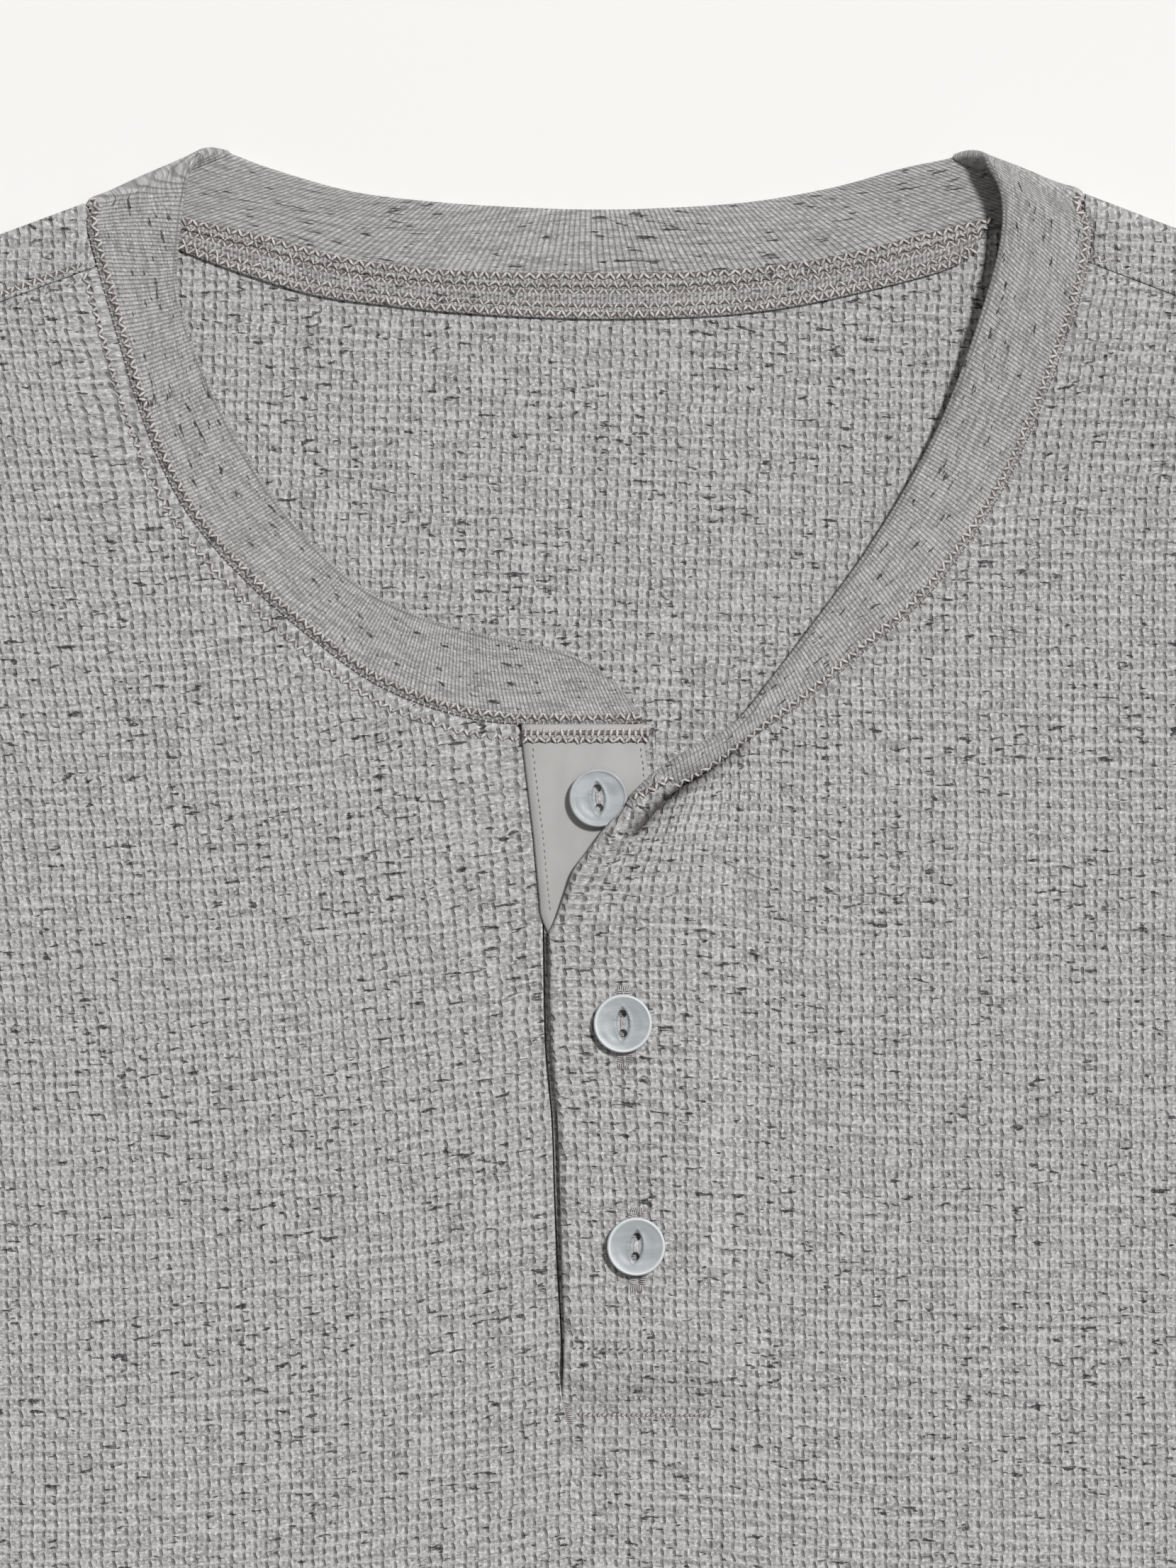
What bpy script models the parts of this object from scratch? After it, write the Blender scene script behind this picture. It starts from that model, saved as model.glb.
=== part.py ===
"""Long-sleeved thermal top in waffle knit, with a buttoned neck opening, laid flat on its back.

X runs across the chest, with +X at the wearer's left arm. Y runs up the garment, with the neck at +Y.
Z = 0 is the surface that the back panel and the lower sides of the sleeves lie on.
All sizes below are in millimetres, measured from the centre front (x = 0) and from the level of the
neck's highest points (y = 0). The finished meshes are in metres, with the origin under the middle.

Each cloth piece is made as the middle surface of its wall, and a Solidify modifier gives it its thickness.
"""
import math

import bmesh
import bpy
from mathutils import Matrix, Vector
from mathutils.geometry import delaunay_2d_cdt, intersect_point_line

MM = 0.001

# Cloth
WAFFLE = 1.2            # one layer of waffle knit
RIB = 1.8               # neckband: rib knit, folded double
WOVEN = 1.0             # facing of the button side
GAP = 0.3               # space left at every seam
CURVE_GAP = 0.55        # the same where both edges curve, so that their flat facets stay apart

# Body, laid flat
BODY_LENGTH = 710.0
UNDERARM = (266.0, -287.0)
WAIST = (261.0, -480.0)
HEM_HALF_WIDTH = 258.0
SHOULDER_TIP = (228.0, -59.0)
NECK_POINT = {-1: (-98.8, -11.2), 1: (96.8, -9.2)}      # where the neck seam crosses each shoulder fold
ARMHOLE_BOW = 16.0      # how far the armhole curves in towards the chest
SHOULDER_SEAM = 12.0    # the shoulder seam lies this far down the front, below the fold

# Sleeves
CUFF_OUTER = (693.0, -486.0)
CUFF_INNER = (618.0, -552.0)
SLEEVE_CROWN = (367.0, -112.0)      # pulls the top fold outwards, past the shoulder tip

# Heights of the middle of each wall above the surface
BACK_HEIGHT = WAFFLE / 2
FRONT_HEIGHT = WAFFLE + GAP + WAFFLE / 2
FOLD_RADIUS = 1.7       # of the soft folds along the shoulders and the sleeves
SIDE_RADIUS = (FRONT_HEIGHT - BACK_HEIGHT) / 2
NECK_FOLD_EXTRA = 1.2   # the +X shoulder stands higher beside the neck, where the neckband is propped open
NECK_FOLD_REACH = 40.0
LOFT_START, LOFT_END = 13.0, 62.0   # the front sinks from the fold's height to the flat between these

# Placket
PLACKET_WIDTH = 26.0
UNDERLAP_HEIGHT = FRONT_HEIGHT
FACING_HEIGHT = UNDERLAP_HEIGHT + WAFFLE / 2 + GAP + WOVEN / 2
OVERLAP_HEIGHT = FACING_HEIGHT + WOVEN / 2 + GAP + WAFFLE / 2
OVERLAP_FALL_START = 4.5        # the overlap stays level this far past the underlap's edge
OVERLAP_FALL = 9.0      # and comes down to the front over this width
SLIT_END = (-4.7, -247.1)
UNDERLAP_TOP = -115.45
UNDERLAP_END = -237.5
FACING_END = -234.0
UNDERLAP_ROWS, UNDERLAP_COLUMNS = 10, 4
SLIT_SEAM_GAP = 0.35    # between the slit's edge and the underlap sewn to it
UNDERLAP_TRIM, FACING_TRIM = 0.6, 2.8   # each is this much narrower than the placket
OVERLAP_LEVEL_END = -238.4
OVERLAP_CLEARANCE = 0.3     # places this far past the button side's edge belong to the overlap
CORNER_INSET = 0.8      # the panels stop this far short of the underarm point

# The slit: y, x of the front's edge on the button side, x of the overlap's edge
SLIT = (
    (-115.4, -12.7, None),
    (-134.8, -10.4, None),
    (-147.6, -9.2, None),
    (-153.7, -8.9, -7.7),
    (-175.7, -8.5, -7.3),
    (-190.6, -7.2, -6.0),
    (-205.6, -6.7, -5.5),
    (-220.5, -6.1, -5.1),
    (-232.1, -5.4, -4.7),
    (-243.5, -4.9, -4.5),
)

# The overlap's unbuttoned corner is rolled back: x, y of the roll's free edge, height of the roll there
ROLL = (
    (12.9, -122.1, 8.4),
    (9.7, -125.7, 8.4),
    (7.6, -128.5, 8.4),
    (4.0, -132.1, 8.2),
    (0.2, -137.2, 7.6),
    (-2.7, -141.1, 6.9),
    (-4.1, -144.7, 6.3),
    (-6.2, -150.4, 5.4),
    (-7.7, -153.7, 4.9),
)
ROLL_WIDTH = 6.5        # from the free edge to the bottom of the valley beside it
ROLL_CREST = 2.34       # width of the roll's level crest
ROLL_FLANK = 1.0        # extra space beside the neckband where it stands steeply at the roll

# Neckband, from the button side round to the overlap: x, y of the seam, x, y of the folded edge,
# and how far the folded edge stands above the seam
BAND_BUTTON_SIDE = (
    (11.6, -114.5, 10.4, -111.2, 0.2),
    (4.0, -114.9, 5.2, -104.4, 0.3),
    (-5.0, -115.0, -4.0, -98.8, 0.3),
    (-23.0, -113.8, -19.5, -95.3, 0.3),
    (-41.0, -107.6, -33.5, -91.2, 0.3),
    (-55.4, -97.6, -46.1, -84.5, 0.2),
    (-69.5, -85.1, -57.5, -73.3, 0.2),
    (-80.0, -72.5, -67.0, -60.0, 0.2),
    (-87.6, -56.9, -75.0, -44.2, 0.2),
    (-93.6, -37.5, -80.2, -29.0, 0.2),
    (-97.6, -23.1, -80.0, -18.0, 0.2),
    (-99.2, -15.6, -78.4, -6.3, 0.2),
)
BAND_BACK = (
    (-90.0, -13.2, -61.5, -3.9, 0.0),
    (-70.0, -17.2, -46.1, -8.2, 0.0),
    (-46.1, -23.9, -30.0, -10.2, 0.0),
    (-23.0, -26.6, -15.0, -11.2, 0.0),
    (0.0, -27.3, 0.0, -11.7, 0.0),
    (23.0, -26.6, 15.0, -11.4, 0.0),
    (46.1, -23.9, 32.0, -10.2, 0.0),
    (70.0, -17.6, 48.0, -7.4, 0.0),
    (88.0, -12.9, 61.5, -3.7, 0.2),
)
BAND_OVERLAP_SIDE = (
    (97.4, -16.0, 80.6, -9.8, 2.4),
    (95.7, -27.0, 80.2, -20.0, 2.2),
    (91.5, -40.0, 75.3, -37.0, 2.0),
    (86.2, -54.0, 69.2, -53.0, 1.9),
    (78.2, -70.0, 61.5, -67.7, 1.8),
    (66.0, -86.6, 53.0, -81.0, 1.8),
    (53.9, -97.6, 44.0, -93.2, 1.9),
    (42.0, -107.6, 36.4, -103.2, 2.2),
    (30.8, -115.4, 28.4, -113.0, 3.2),
    (23.4, -121.2, 19.8, -117.8, 4.4),
    (17.4, -124.8, 13.6, -121.9, 3.6),
)
BAND_EDGE_POINT = {-1: (-73.0, -0.2), 1: (74.2, -1.0)}  # where the folded edge crosses each shoulder fold
BAND_EDGE_RADIUS = {-1: 1.7, 1: 4.0}
BAND_EDGE_SLIDE = 3.4   # the folded edge rounds each neck point by this much to either side
BAND_EDGE_DROP = (2.2, 0.7)     # and comes down by this much on the front and on the back
BAND_TAIL_RISE = 1.2    # the overlap's end of the band climbs onto the roll
BAND_TAIL = (-108.0, -124.0)    # between these y
BAND_CROWN = 0.35       # the overlap's side bulges by this share of its edge's height
BAND_OVER_FACING = 2.6  # height of the band's middle above the surface where it crosses the facing
BAND_COLUMNS = 5
BAND_STEP = 4.5         # distance between sections of the neckband

# Soft ridges that lie in the cloth: x, y, direction in degrees, half length, half width, height
BODY_RIDGES = (
    (15.0, -141.5, 50.0, 21.0, 6.5, 1.8),
    (44.0, -129.0, 50.0, 26.0, 9.0, 1.4),
    (-178.0, -235.0, 28.0, 70.0, 13.0, 2.6),
    (182.0, -228.0, 150.0, 78.0, 15.0, 2.3),
    (-120.0, -330.0, 74.0, 110.0, 22.0, 1.8),
    (96.0, -372.0, 98.0, 125.0, 26.0, 2.0),
    (-36.0, -452.0, 66.0, 95.0, 20.0, 1.7),
    (176.0, -520.0, 116.0, 110.0, 18.0, 2.4),
    (-186.0, -556.0, 82.0, 90.0, 16.0, 2.1),
    (28.0, -604.0, 8.0, 120.0, 19.0, 1.8),
)
SLEEVE_RIDGES = {
    -1: (
        (-300.0, -205.0, 70.0, 60.0, 12.0, 3.2),
        (-372.0, -270.0, 108.0, 52.0, 11.0, 2.6),
        (-452.0, -352.0, 26.0, 66.0, 10.0, 2.9),
        (-530.0, -425.0, 62.0, 44.0, 9.0, 2.2),
        (-610.0, -478.0, 36.0, 50.0, 10.0, 1.9),
    ),
    1: (
        (292.0, -190.0, 112.0, 64.0, 13.0, 2.9),
        (360.0, -262.0, 148.0, 58.0, 11.0, 3.0),
        (436.0, -322.0, 84.0, 40.0, 10.0, 2.2),
        (512.0, -404.0, 138.0, 72.0, 12.0, 2.7),
        (606.0, -488.0, 128.0, 46.0, 9.0, 2.1),
    ),
}

# Buttons
BUTTON_RADIUS = 11.43 / 2
BUTTON_SEGMENTS = 24
BUTTON_HOLE_RADIUS = 0.8
BUTTON_HOLE_SPACING = 3.8
DRILL_DEPTH = 8.0
DRILL_HEIGHT = 1.5
BUTTONS = ((2.0, -127.3, FACING_HEIGHT + WOVEN / 2), (6.8, -171.4, OVERLAP_HEIGHT + WAFFLE / 2),
           (9.4, -215.0, OVERLAP_HEIGHT + WAFFLE / 2))
# Half of a button's section, from the middle of its back to the middle of its face: radius, height
BUTTON_SECTION = ((0.0, 0.0), (4.2, 0.0), (5.3, 0.55), (BUTTON_RADIUS, 1.2), (5.55, 1.9), (4.9, 2.4), (4.3, 2.45),
                  (3.9, 2.1), (3.3, 1.75), (0.0, 1.65))

# Spacing of the points inside a panel
FRONT_STEP = 32.0
BACK_STEP = 60.0
EDGE_STEP = 36.0
ARMHOLE_STEP = 14.0
BACK_NECK_STEP, FRONT_NECK_STEP, ROLL_NECK_STEP = 9.0, 8.0, 6.0
SLIT_STEP, ROLL_STEP = 9.0, 3.0
SHOULDER_COLUMNS = 9
SHOULDER_ROWS = (5.0, 8.0, SHOULDER_SEAM)       # rows of points below the fold
SLEEVE_ACROSS, SLEEVE_ALONG = 8, 16
# Finer patches: x from, x to, y from, y to, step
PATCHES = (
    (-12.0, 40.0, -160.0, -114.0, 4.0),
    (-14.0, 34.0, -258.0, -228.0, 5.0),
    (-30.0, 62.0, -270.0, -100.0, 11.0),
)

WAFFLE_COLOUR = (0.40, 0.39, 0.385, 1.0)
RIB_COLOUR = (0.38, 0.365, 0.355, 1.0)
FACING_COLOUR = (0.50, 0.50, 0.49, 1.0)
BUTTON_COLOUR = (0.44, 0.47, 0.49, 1.0)


def clear_scene():
    """Remove whatever the scene holds."""
    for item in list(bpy.data.objects):
        bpy.data.objects.remove(item, do_unlink=True)


def material(name, colour, roughness):
    """A plain dielectric finish."""
    finish = bpy.data.materials.new(name)
    finish.use_nodes = True
    shader = finish.node_tree.nodes["Principled BSDF"]
    shader.inputs["Base Color"].default_value = colour
    shader.inputs["Roughness"].default_value = roughness
    shader.inputs["Metallic"].default_value = 0.0
    return finish


def ease(low, high, value):
    """0 below low, 1 above high, and a smooth step between them."""
    k = min(1.0, max(0.0, (value - low) / (high - low)))
    return k * k * (3.0 - 2.0 * k)


def spline(points, k):
    """The point of a Catmull-Rom curve through points, where k runs from 0 to the last index."""
    last = len(points) - 1
    i = min(int(k), last - 1)
    f = k - i
    p0, p1, p2, p3 = (points[min(max(i + j, 0), last)] for j in (-1, 0, 1, 2))
    return 0.5 * (2 * p1 + (p2 - p0) * f + (2 * p0 - 5 * p1 + 4 * p2 - p3) * f ** 2
                  + (3 * p1 - p0 - 3 * p2 + p3) * f ** 3)


def resample(points, step):
    """Points about one step apart along a smooth curve through the given ones, ends kept."""
    fine = [spline(points, i / 12) for i in range(12 * (len(points) - 1) + 1)]
    lengths = [0.0]
    for a, b in zip(fine, fine[1:]):
        lengths.append(lengths[-1] + (b - a).length)
    count = max(1, round(lengths[-1] / step))
    out, j = [fine[0]], 0
    for i in range(1, count):
        target = lengths[-1] * i / count
        while lengths[j + 1] < target:
            j += 1
        out.append(fine[j].lerp(fine[j + 1], (target - lengths[j]) / (lengths[j + 1] - lengths[j])))
    return out + [fine[-1]]


def shifted(points, distance):
    """An open line of plan points moved to its left by a distance."""
    out = []
    for i, point in enumerate(points):
        along = (points[min(i + 1, len(points) - 1)] - points[max(i - 1, 0)]).normalized()
        out.append(point + Vector((-along.y, along.x)) * distance)
    return out


def nearest(points, place):
    """Distance from a plan place to an open line, and where along it, as an index with a fraction."""
    best = (1e9, 0.0)
    for i, (a, b) in enumerate(zip(points, points[1:])):
        foot, k = intersect_point_line(place, a, b)
        k = min(1.0, max(0.0, k))
        gap = (Vector(a).lerp(Vector(b), k) - place).length
        if gap < best[0]:
            best = (gap, i + k)
    return best


def read(values, k):
    """A list's value at a fractional index."""
    i = min(int(k), len(values) - 2)
    return values[i] + (values[i + 1] - values[i]) * (k - i)


class Shoulder:
    """The fold along one shoulder, as an axis from the neck to the shoulder tip."""

    def __init__(self, side):
        self.side = side
        self.start = Vector(NECK_POINT[side])
        self.tip = Vector((side * SHOULDER_TIP[0], SHOULDER_TIP[1]))
        self.along = (self.tip - self.start).normalized()
        self.down = Vector((-side * abs(self.along.y), -abs(self.along.x)))
        self.length = (self.tip - self.start).length

    def radius(self, t):
        extra = NECK_FOLD_EXTRA if self.side > 0 else 0.0
        return FOLD_RADIUS + extra * math.exp(-(max(t, 0.0) / NECK_FOLD_REACH) ** 2)

    def measure(self, place):
        """How far a plan place lies along the fold, and how far below it."""
        offset = place - self.start
        return offset.dot(self.along), offset.dot(self.down)

    def place(self, t, d):
        return self.start + self.along * t + self.down * d


SHOULDERS = {side: Shoulder(side) for side in (-1, 1)}


def ridge_height(table, x, y):
    """Height that the soft ridges of a table add at one place."""
    total = 0.0
    for cx, cy, degrees, length, width, height in table:
        angle = math.radians(degrees)
        dx, dy = x - cx, y - cy
        a = (dx * math.cos(angle) + dy * math.sin(angle)) / length
        b = (-dx * math.sin(angle) + dy * math.cos(angle)) / width
        if a * a + b * b < 9.0:
            total += height * math.exp(-a * a - b * b)
    return total


def loft(x, y):
    """How far the shoulder fold lifts the front at one place."""
    shoulder = SHOULDERS[1 if x > 0 else -1]
    t, d = shoulder.measure(Vector((x, y)))
    full = BACK_HEIGHT + 2 * shoulder.radius(t) - FRONT_HEIGHT
    return full * (1.0 - ease(LOFT_START, LOFT_END, d))


def slit_x(y, column):
    """Where an edge of the slit runs at a height: column 1 is the button side, 2 the overlap."""
    rows = [(row[0], row[column]) for row in SLIT if row[column] is not None]
    rows.append((SLIT_END[1], SLIT_END[0]))
    if y >= rows[0][0]:
        return rows[0][1]
    for (y0, x0), (y1, x1) in zip(rows, rows[1:]):
        if y >= y1:
            return x0 + (x1 - x0) * (y - y0) / (y1 - y0)
    return SLIT_END[0]


ROLL_LINE = [Vector((x, y)) for x, y, height in ROLL]
ROLL_HEIGHTS = [height for x, y, height in ROLL]


def overlap_side(x, y):
    """True for a place on the overlap's side of the slit."""
    return x > slit_x(y, 1) + OVERLAP_CLEARANCE


def front_height(x, y, on_overlap):
    """Height of the middle of the front panel's wall at one place."""
    height = FRONT_HEIGHT + loft(x, y) + ridge_height(BODY_RIDGES, x, y)
    if not on_overlap:
        return height
    rise = OVERLAP_HEIGHT - FRONT_HEIGHT
    edge = slit_x(y, 1) + PLACKET_WIDTH + OVERLAP_FALL_START
    across = 1.0 - ease(edge, edge + OVERLAP_FALL, x)
    down = ease(SLIT_END[1], OVERLAP_LEVEL_END, y)
    height += rise * across * down
    gap, k = nearest(ROLL_LINE, Vector((x, y)))
    lift = read(ROLL_HEIGHTS, k) - OVERLAP_HEIGHT
    height += lift * (1.0 - ease(ROLL_CREST, ROLL_WIDTH, gap))
    return height


def cloth(name, verts, faces, thickness, finish):
    """An object whose middle surface gets a wall by Solidify. Points are in millimetres."""
    mesh = bpy.data.meshes.new(name)
    mesh.from_pydata([tuple(v * MM for v in point) for point in verts], [], faces)
    bm = bmesh.new()
    bm.from_mesh(mesh)
    bmesh.ops.remove_doubles(bm, verts=bm.verts, dist=0.02 * MM)
    bmesh.ops.recalc_face_normals(bm, faces=bm.faces)
    bm.to_mesh(mesh)
    bm.free()
    mesh.materials.append(finish)
    mesh.shade_smooth()
    item = bpy.data.objects.new(name, mesh)
    bpy.context.scene.collection.objects.link(item)
    wall = item.modifiers.new("wall", 'SOLIDIFY')
    wall.thickness = thickness * MM
    wall.offset = 0.0
    wall.use_even_offset = True
    wall.use_quality_normals = True


def triangulate(outline, coarse, patches=()):
    """Plan triangles inside an outline, with points about a coarse step apart, closer in the patches."""
    count = len(outline)
    inner = []

    def inside(place):
        crossings = 0
        for a, b in zip(outline, outline[1:] + outline[:1]):
            if (a.y > place.y) != (b.y > place.y):
                if place.x < a.x + (b.x - a.x) * (place.y - a.y) / (b.y - a.y):
                    crossings += 1
        return crossings % 2 == 1

    ring = outline + outline[:1]
    low = Vector((min(p.x for p in outline), min(p.y for p in outline)))
    high = Vector((max(p.x for p in outline), max(p.y for p in outline)))
    for x0, x1, y0, y1, step in (*patches, (low.x, high.x, low.y, high.y, coarse)):
        row = 0
        y = y0 + step / 2
        while y < y1:
            x = x0 + step * (0.5 if row % 2 else 0.0)
            while x < x1:
                place = Vector((x, y))
                apart = 0.8 * step
                if (all((place - other).length > apart for other in inner)
                        and inside(place) and nearest(ring, place)[0] > 0.45 * step):
                    inner.append(place)
                x += step
            y += step * 0.87
            row += 1
    edges = [(i, (i + 1) % count) for i in range(count)]
    verts, _, faces, *_ = delaunay_2d_cdt(outline + inner, edges, [list(range(count))], 1, 1e-4)
    return verts, faces


def armhole(side, step):
    """The armhole seam in plan, from the shoulder tip to the underarm."""
    tip = Vector((side * SHOULDER_TIP[0], SHOULDER_TIP[1]))
    under = Vector((side * UNDERARM[0], UNDERARM[1]))
    count = max(1, round((under - tip).length / step))
    out = []
    for i in range(count + 1):
        k = i / count
        bow = -side * ARMHOLE_BOW * math.sin(math.pi * k ** 0.85)
        out.append(tip.lerp(under, k) + Vector((bow, 0.0)))
    return out


def body_side(side, step):
    """The side edge of a body panel in plan, from the underarm to the hem."""
    points = [Vector((side * (UNDERARM[0] - CORNER_INSET), UNDERARM[1] - CORNER_INSET)),
              Vector((side * WAIST[0], WAIST[1])), Vector((side * HEM_HALF_WIDTH, -BODY_LENGTH))]
    return resample(points, step)


def hem():
    """The hem of a body panel in plan, from +X to -X, without its first point."""
    count = round(2 * HEM_HALF_WIDTH / EDGE_STEP)
    return [Vector((HEM_HALF_WIDTH * (1 - 2 * i / count), -BODY_LENGTH)) for i in range(1, count + 1)]


def turn(side):
    """Stations of the neckband as it turns over a shoulder, from the front layer to the back one."""
    shoulder = SHOULDERS[side]
    edge = Vector(BAND_EDGE_POINT[side])
    out = []
    for i in range(5):
        angle = math.radians(90 - 45 * i)
        seam_radius, edge_radius = shoulder.radius(0.0), BAND_EDGE_RADIUS[side]
        seam = shoulder.start + shoulder.down * seam_radius * (1 - math.cos(angle))
        drop = BAND_EDGE_DROP[0 if angle > 0 else 1] * (1 - math.cos(angle))
        top = edge + Vector((side * BAND_EDGE_SLIDE * math.sin(angle), -drop))
        seam_z = RIB / 2 + seam_radius * (1 + math.sin(angle))
        edge_z = RIB / 2 + edge_radius * (1 + math.sin(angle))
        out.append((Vector((seam.x, seam.y, seam_z)), Vector((top.x, top.y, edge_z))))
    return out


def band_front(rows, on_overlap):
    """Stations of the neckband on the front: the seam lies level with the front panel."""
    out = []
    for seam_x, seam_y, edge_x, edge_y, lift in rows:
        base = front_height(seam_x, seam_y, False) + (RIB - WAFFLE) / 2
        if on_overlap:
            base += BAND_TAIL_RISE * ease(*BAND_TAIL, seam_y)
        out.append((Vector((seam_x, seam_y, base)), Vector((edge_x, edge_y, base + lift))))
    return out


def band_rails():
    """The neckband's two edges as smooth lines: the seam, and the folded edge."""
    button_side = band_front(BAND_BUTTON_SIDE, False)
    for i in range(3):
        seam, edge = button_side[i]
        climb = Vector((0.0, 0.0, max(0.0, BAND_OVER_FACING - seam.z)))
        button_side[i] = (seam + climb, edge + climb)
    back = [(Vector((a, b, RIB / 2)), Vector((c, d, RIB / 2 + lift))) for a, b, c, d, lift in BAND_BACK]
    stations = (button_side + turn(-1) + back + list(reversed(turn(1)))
                + band_front(BAND_OVERLAP_SIDE, True))
    return [s for s, e in stations], [e for s, e in stations]


SEAM_RAIL, EDGE_RAIL = band_rails()
LEFT_TURN = len(BAND_BUTTON_SIDE)
RIGHT_TURN = LEFT_TURN + 5 + len(BAND_BACK)
RIGHT_FRONT = RIGHT_TURN + 5


def plan(points):
    """Points without their heights."""
    return [Vector((p.x, p.y)) for p in points]


def neckband():
    """One strip of folded rib, from the underlap round the back of the neck to the overlap's corner."""
    verts, faces = [], []
    stations = []
    last = len(SEAM_RAIL) - 1
    for i in range(last):
        span = max((SEAM_RAIL[i + 1] - SEAM_RAIL[i]).length, (EDGE_RAIL[i + 1] - EDGE_RAIL[i]).length)
        parts = max(1, round(span / BAND_STEP))
        stations += [i + j / parts for j in range(parts)]
    stations.append(last)
    for k in stations:
        seam, edge = spline(SEAM_RAIL, k), spline(EDGE_RAIL, k)
        for column in range(BAND_COLUMNS):
            c = column / (BAND_COLUMNS - 1)
            point = seam.lerp(edge, c)
            point.z = max(point.z, RIB / 2)
            if k > RIGHT_FRONT:
                point.z += (edge.z - seam.z) * BAND_CROWN * math.sin(math.pi * c)
            verts.append(point)
    for row in range(len(stations) - 1):
        for column in range(BAND_COLUMNS - 1):
            a = row * BAND_COLUMNS + column
            faces.append((a, a + 1, a + 1 + BAND_COLUMNS, a + BAND_COLUMNS))
    cloth("neckband", verts, faces, RIB, material("rib_knit", RIB_COLOUR, 0.9))


def step_along(table, d):
    """How far along the fold a seam lies, from its rows of distance below the fold and along it."""
    for (d0, t0), (d1, t1) in zip(table, table[1:]):
        if d <= d1:
            return t0 + (t1 - t0) * (d - d0) / (d1 - d0)
    return table[-1][1]


def shoulder_strip(side):
    """Rows of points of the back's shoulder edge, from flat on the surface, round the fold, to its seam."""
    shoulder = SHOULDERS[side]
    seam = plan(SEAM_RAIL)
    neck = seam[LEFT_TURN - 4:LEFT_TURN + 3][::-1] if side < 0 else seam[RIGHT_FRONT - 3:RIGHT_FRONT + 4]
    neck = [tuple(reversed(shoulder.measure(p))) for p in resample(neck, 1.5)]
    arm = [tuple(reversed(shoulder.measure(p))) for p in armhole(side, ARMHOLE_STEP)[:4]]
    rows = []
    for angle in range(-90, 91, 30):
        rows.append((math.radians(angle), None))
    rows += [(math.pi / 2, d) for d in SHOULDER_ROWS]
    out = []
    for angle, below in rows:
        row = []
        for column in range(SHOULDER_COLUMNS):
            k = column / (SHOULDER_COLUMNS - 1)
            radius = shoulder.radius(k * shoulder.length)
            d = radius * (1 - math.cos(angle)) if below is None else below
            neck_t = (step_along(neck, d) if angle > 0 else 0.0) + CURVE_GAP
            arm_t = step_along(arm, d) - CURVE_GAP
            place = shoulder.place(neck_t + k * (arm_t - neck_t), d)
            row.append(Vector((place.x, place.y, BACK_HEIGHT + radius * (1 + math.sin(angle)))))
        out.append(row)
    return out


def back_panel():
    """The back, flat on the surface, with both shoulder edges folded over onto the front."""
    neck = shifted(resample(plan(SEAM_RAIL)[LEFT_TURN + 4:RIGHT_TURN + 1], BACK_NECK_STEP), -CURVE_GAP)
    verts, faces, fold, seam_edge = [], [], {}, {}
    for side in (-1, 1):
        rows = shoulder_strip(side)
        base = len(verts)
        for row in rows:
            verts.extend(row)
        for i in range(len(rows) - 1):
            for j in range(SHOULDER_COLUMNS - 1):
                a = base + i * SHOULDER_COLUMNS + j
                faces.append((a, a + 1, a + 1 + SHOULDER_COLUMNS, a + SHOULDER_COLUMNS))
        fold[side], seam_edge[side] = plan(rows[0]), plan(rows[-1])
    arm = {side: [p for p in shifted(armhole(side, ARMHOLE_STEP), -side * GAP)
                  if SHOULDERS[side].measure(p)[1] > SHOULDER_ROWS[1]] for side in (-1, 1)}
    outline = (fold[-1][::-1] + neck[1:-1] + fold[1] + arm[1][:-1] + body_side(1, EDGE_STEP) + hem()
               + body_side(-1, EDGE_STEP)[::-1][1:] + arm[-1][:-1][::-1])
    flat, tris = triangulate(outline, BACK_STEP)
    base = len(verts)
    verts += [Vector((p.x, p.y, BACK_HEIGHT)) for p in flat]
    faces += [tuple(base + i for i in face) for face in tris]
    cloth("back_panel", verts, faces, WAFFLE, material("waffle_knit_back", WAFFLE_COLOUR, 0.95))
    return seam_edge


def front_panel(shoulder_edges):
    """The front, with the neck's curve, the slit and the rolled corner of the overlap."""
    seam = plan(SEAM_RAIL)

    def below(points, side, distance):
        return [p for p in points if SHOULDERS[side].measure(p)[1] > distance]

    left_neck = shifted(resample(seam[2:LEFT_TURN], FRONT_NECK_STEP)[::-1], -CURVE_GAP)
    left_neck = [p for p in below(left_neck, -1, SHOULDER_SEAM + 2.5) if p.x < SLIT[0][1] - 1.0]
    right_neck = shifted(resample(seam[RIGHT_FRONT:], ROLL_NECK_STEP), CURVE_GAP)
    right_neck = [p + Vector((0.6, -0.8)) * ROLL_FLANK * ease(-113.0, -119.0, p.y)
                  for p in below(right_neck, 1, SHOULDER_SEAM + 2.5)]
    button_edge = resample([Vector((x, y)) for y, x, over in SLIT], SLIT_STEP)
    overlap_edge = resample([Vector((over, y)) for y, x, over in SLIT[4:]], SLIT_STEP)
    corner = resample(ROLL_LINE, ROLL_STEP)
    shoulder = {side: [p + SHOULDERS[side].down * GAP for p in shoulder_edges[side]] for side in (-1, 1)}
    arm = {side: below(shifted(armhole(side, ARMHOLE_STEP), -side * GAP), side, SHOULDER_SEAM + 6.0)
           for side in (-1, 1)}
    outline = (left_neck + button_edge + [Vector(SLIT_END)] + overlap_edge[::-1] + corner[::-1][1:]
               + right_neck[::-1] + shoulder[1] + arm[1][:-1] + body_side(1, EDGE_STEP) + hem()
               + body_side(-1, EDGE_STEP)[::-1][1:] + arm[-1][:-1][::-1] + shoulder[-1][::-1])
    flat, tris = triangulate(outline, FRONT_STEP, PATCHES)
    verts = [Vector((p.x, p.y, front_height(p.x, p.y, overlap_side(p.x, p.y)))) for p in flat]
    cloth("front_panel", verts, tris, WAFFLE, material("waffle_knit_front", WAFFLE_COLOUR, 0.95))


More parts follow.
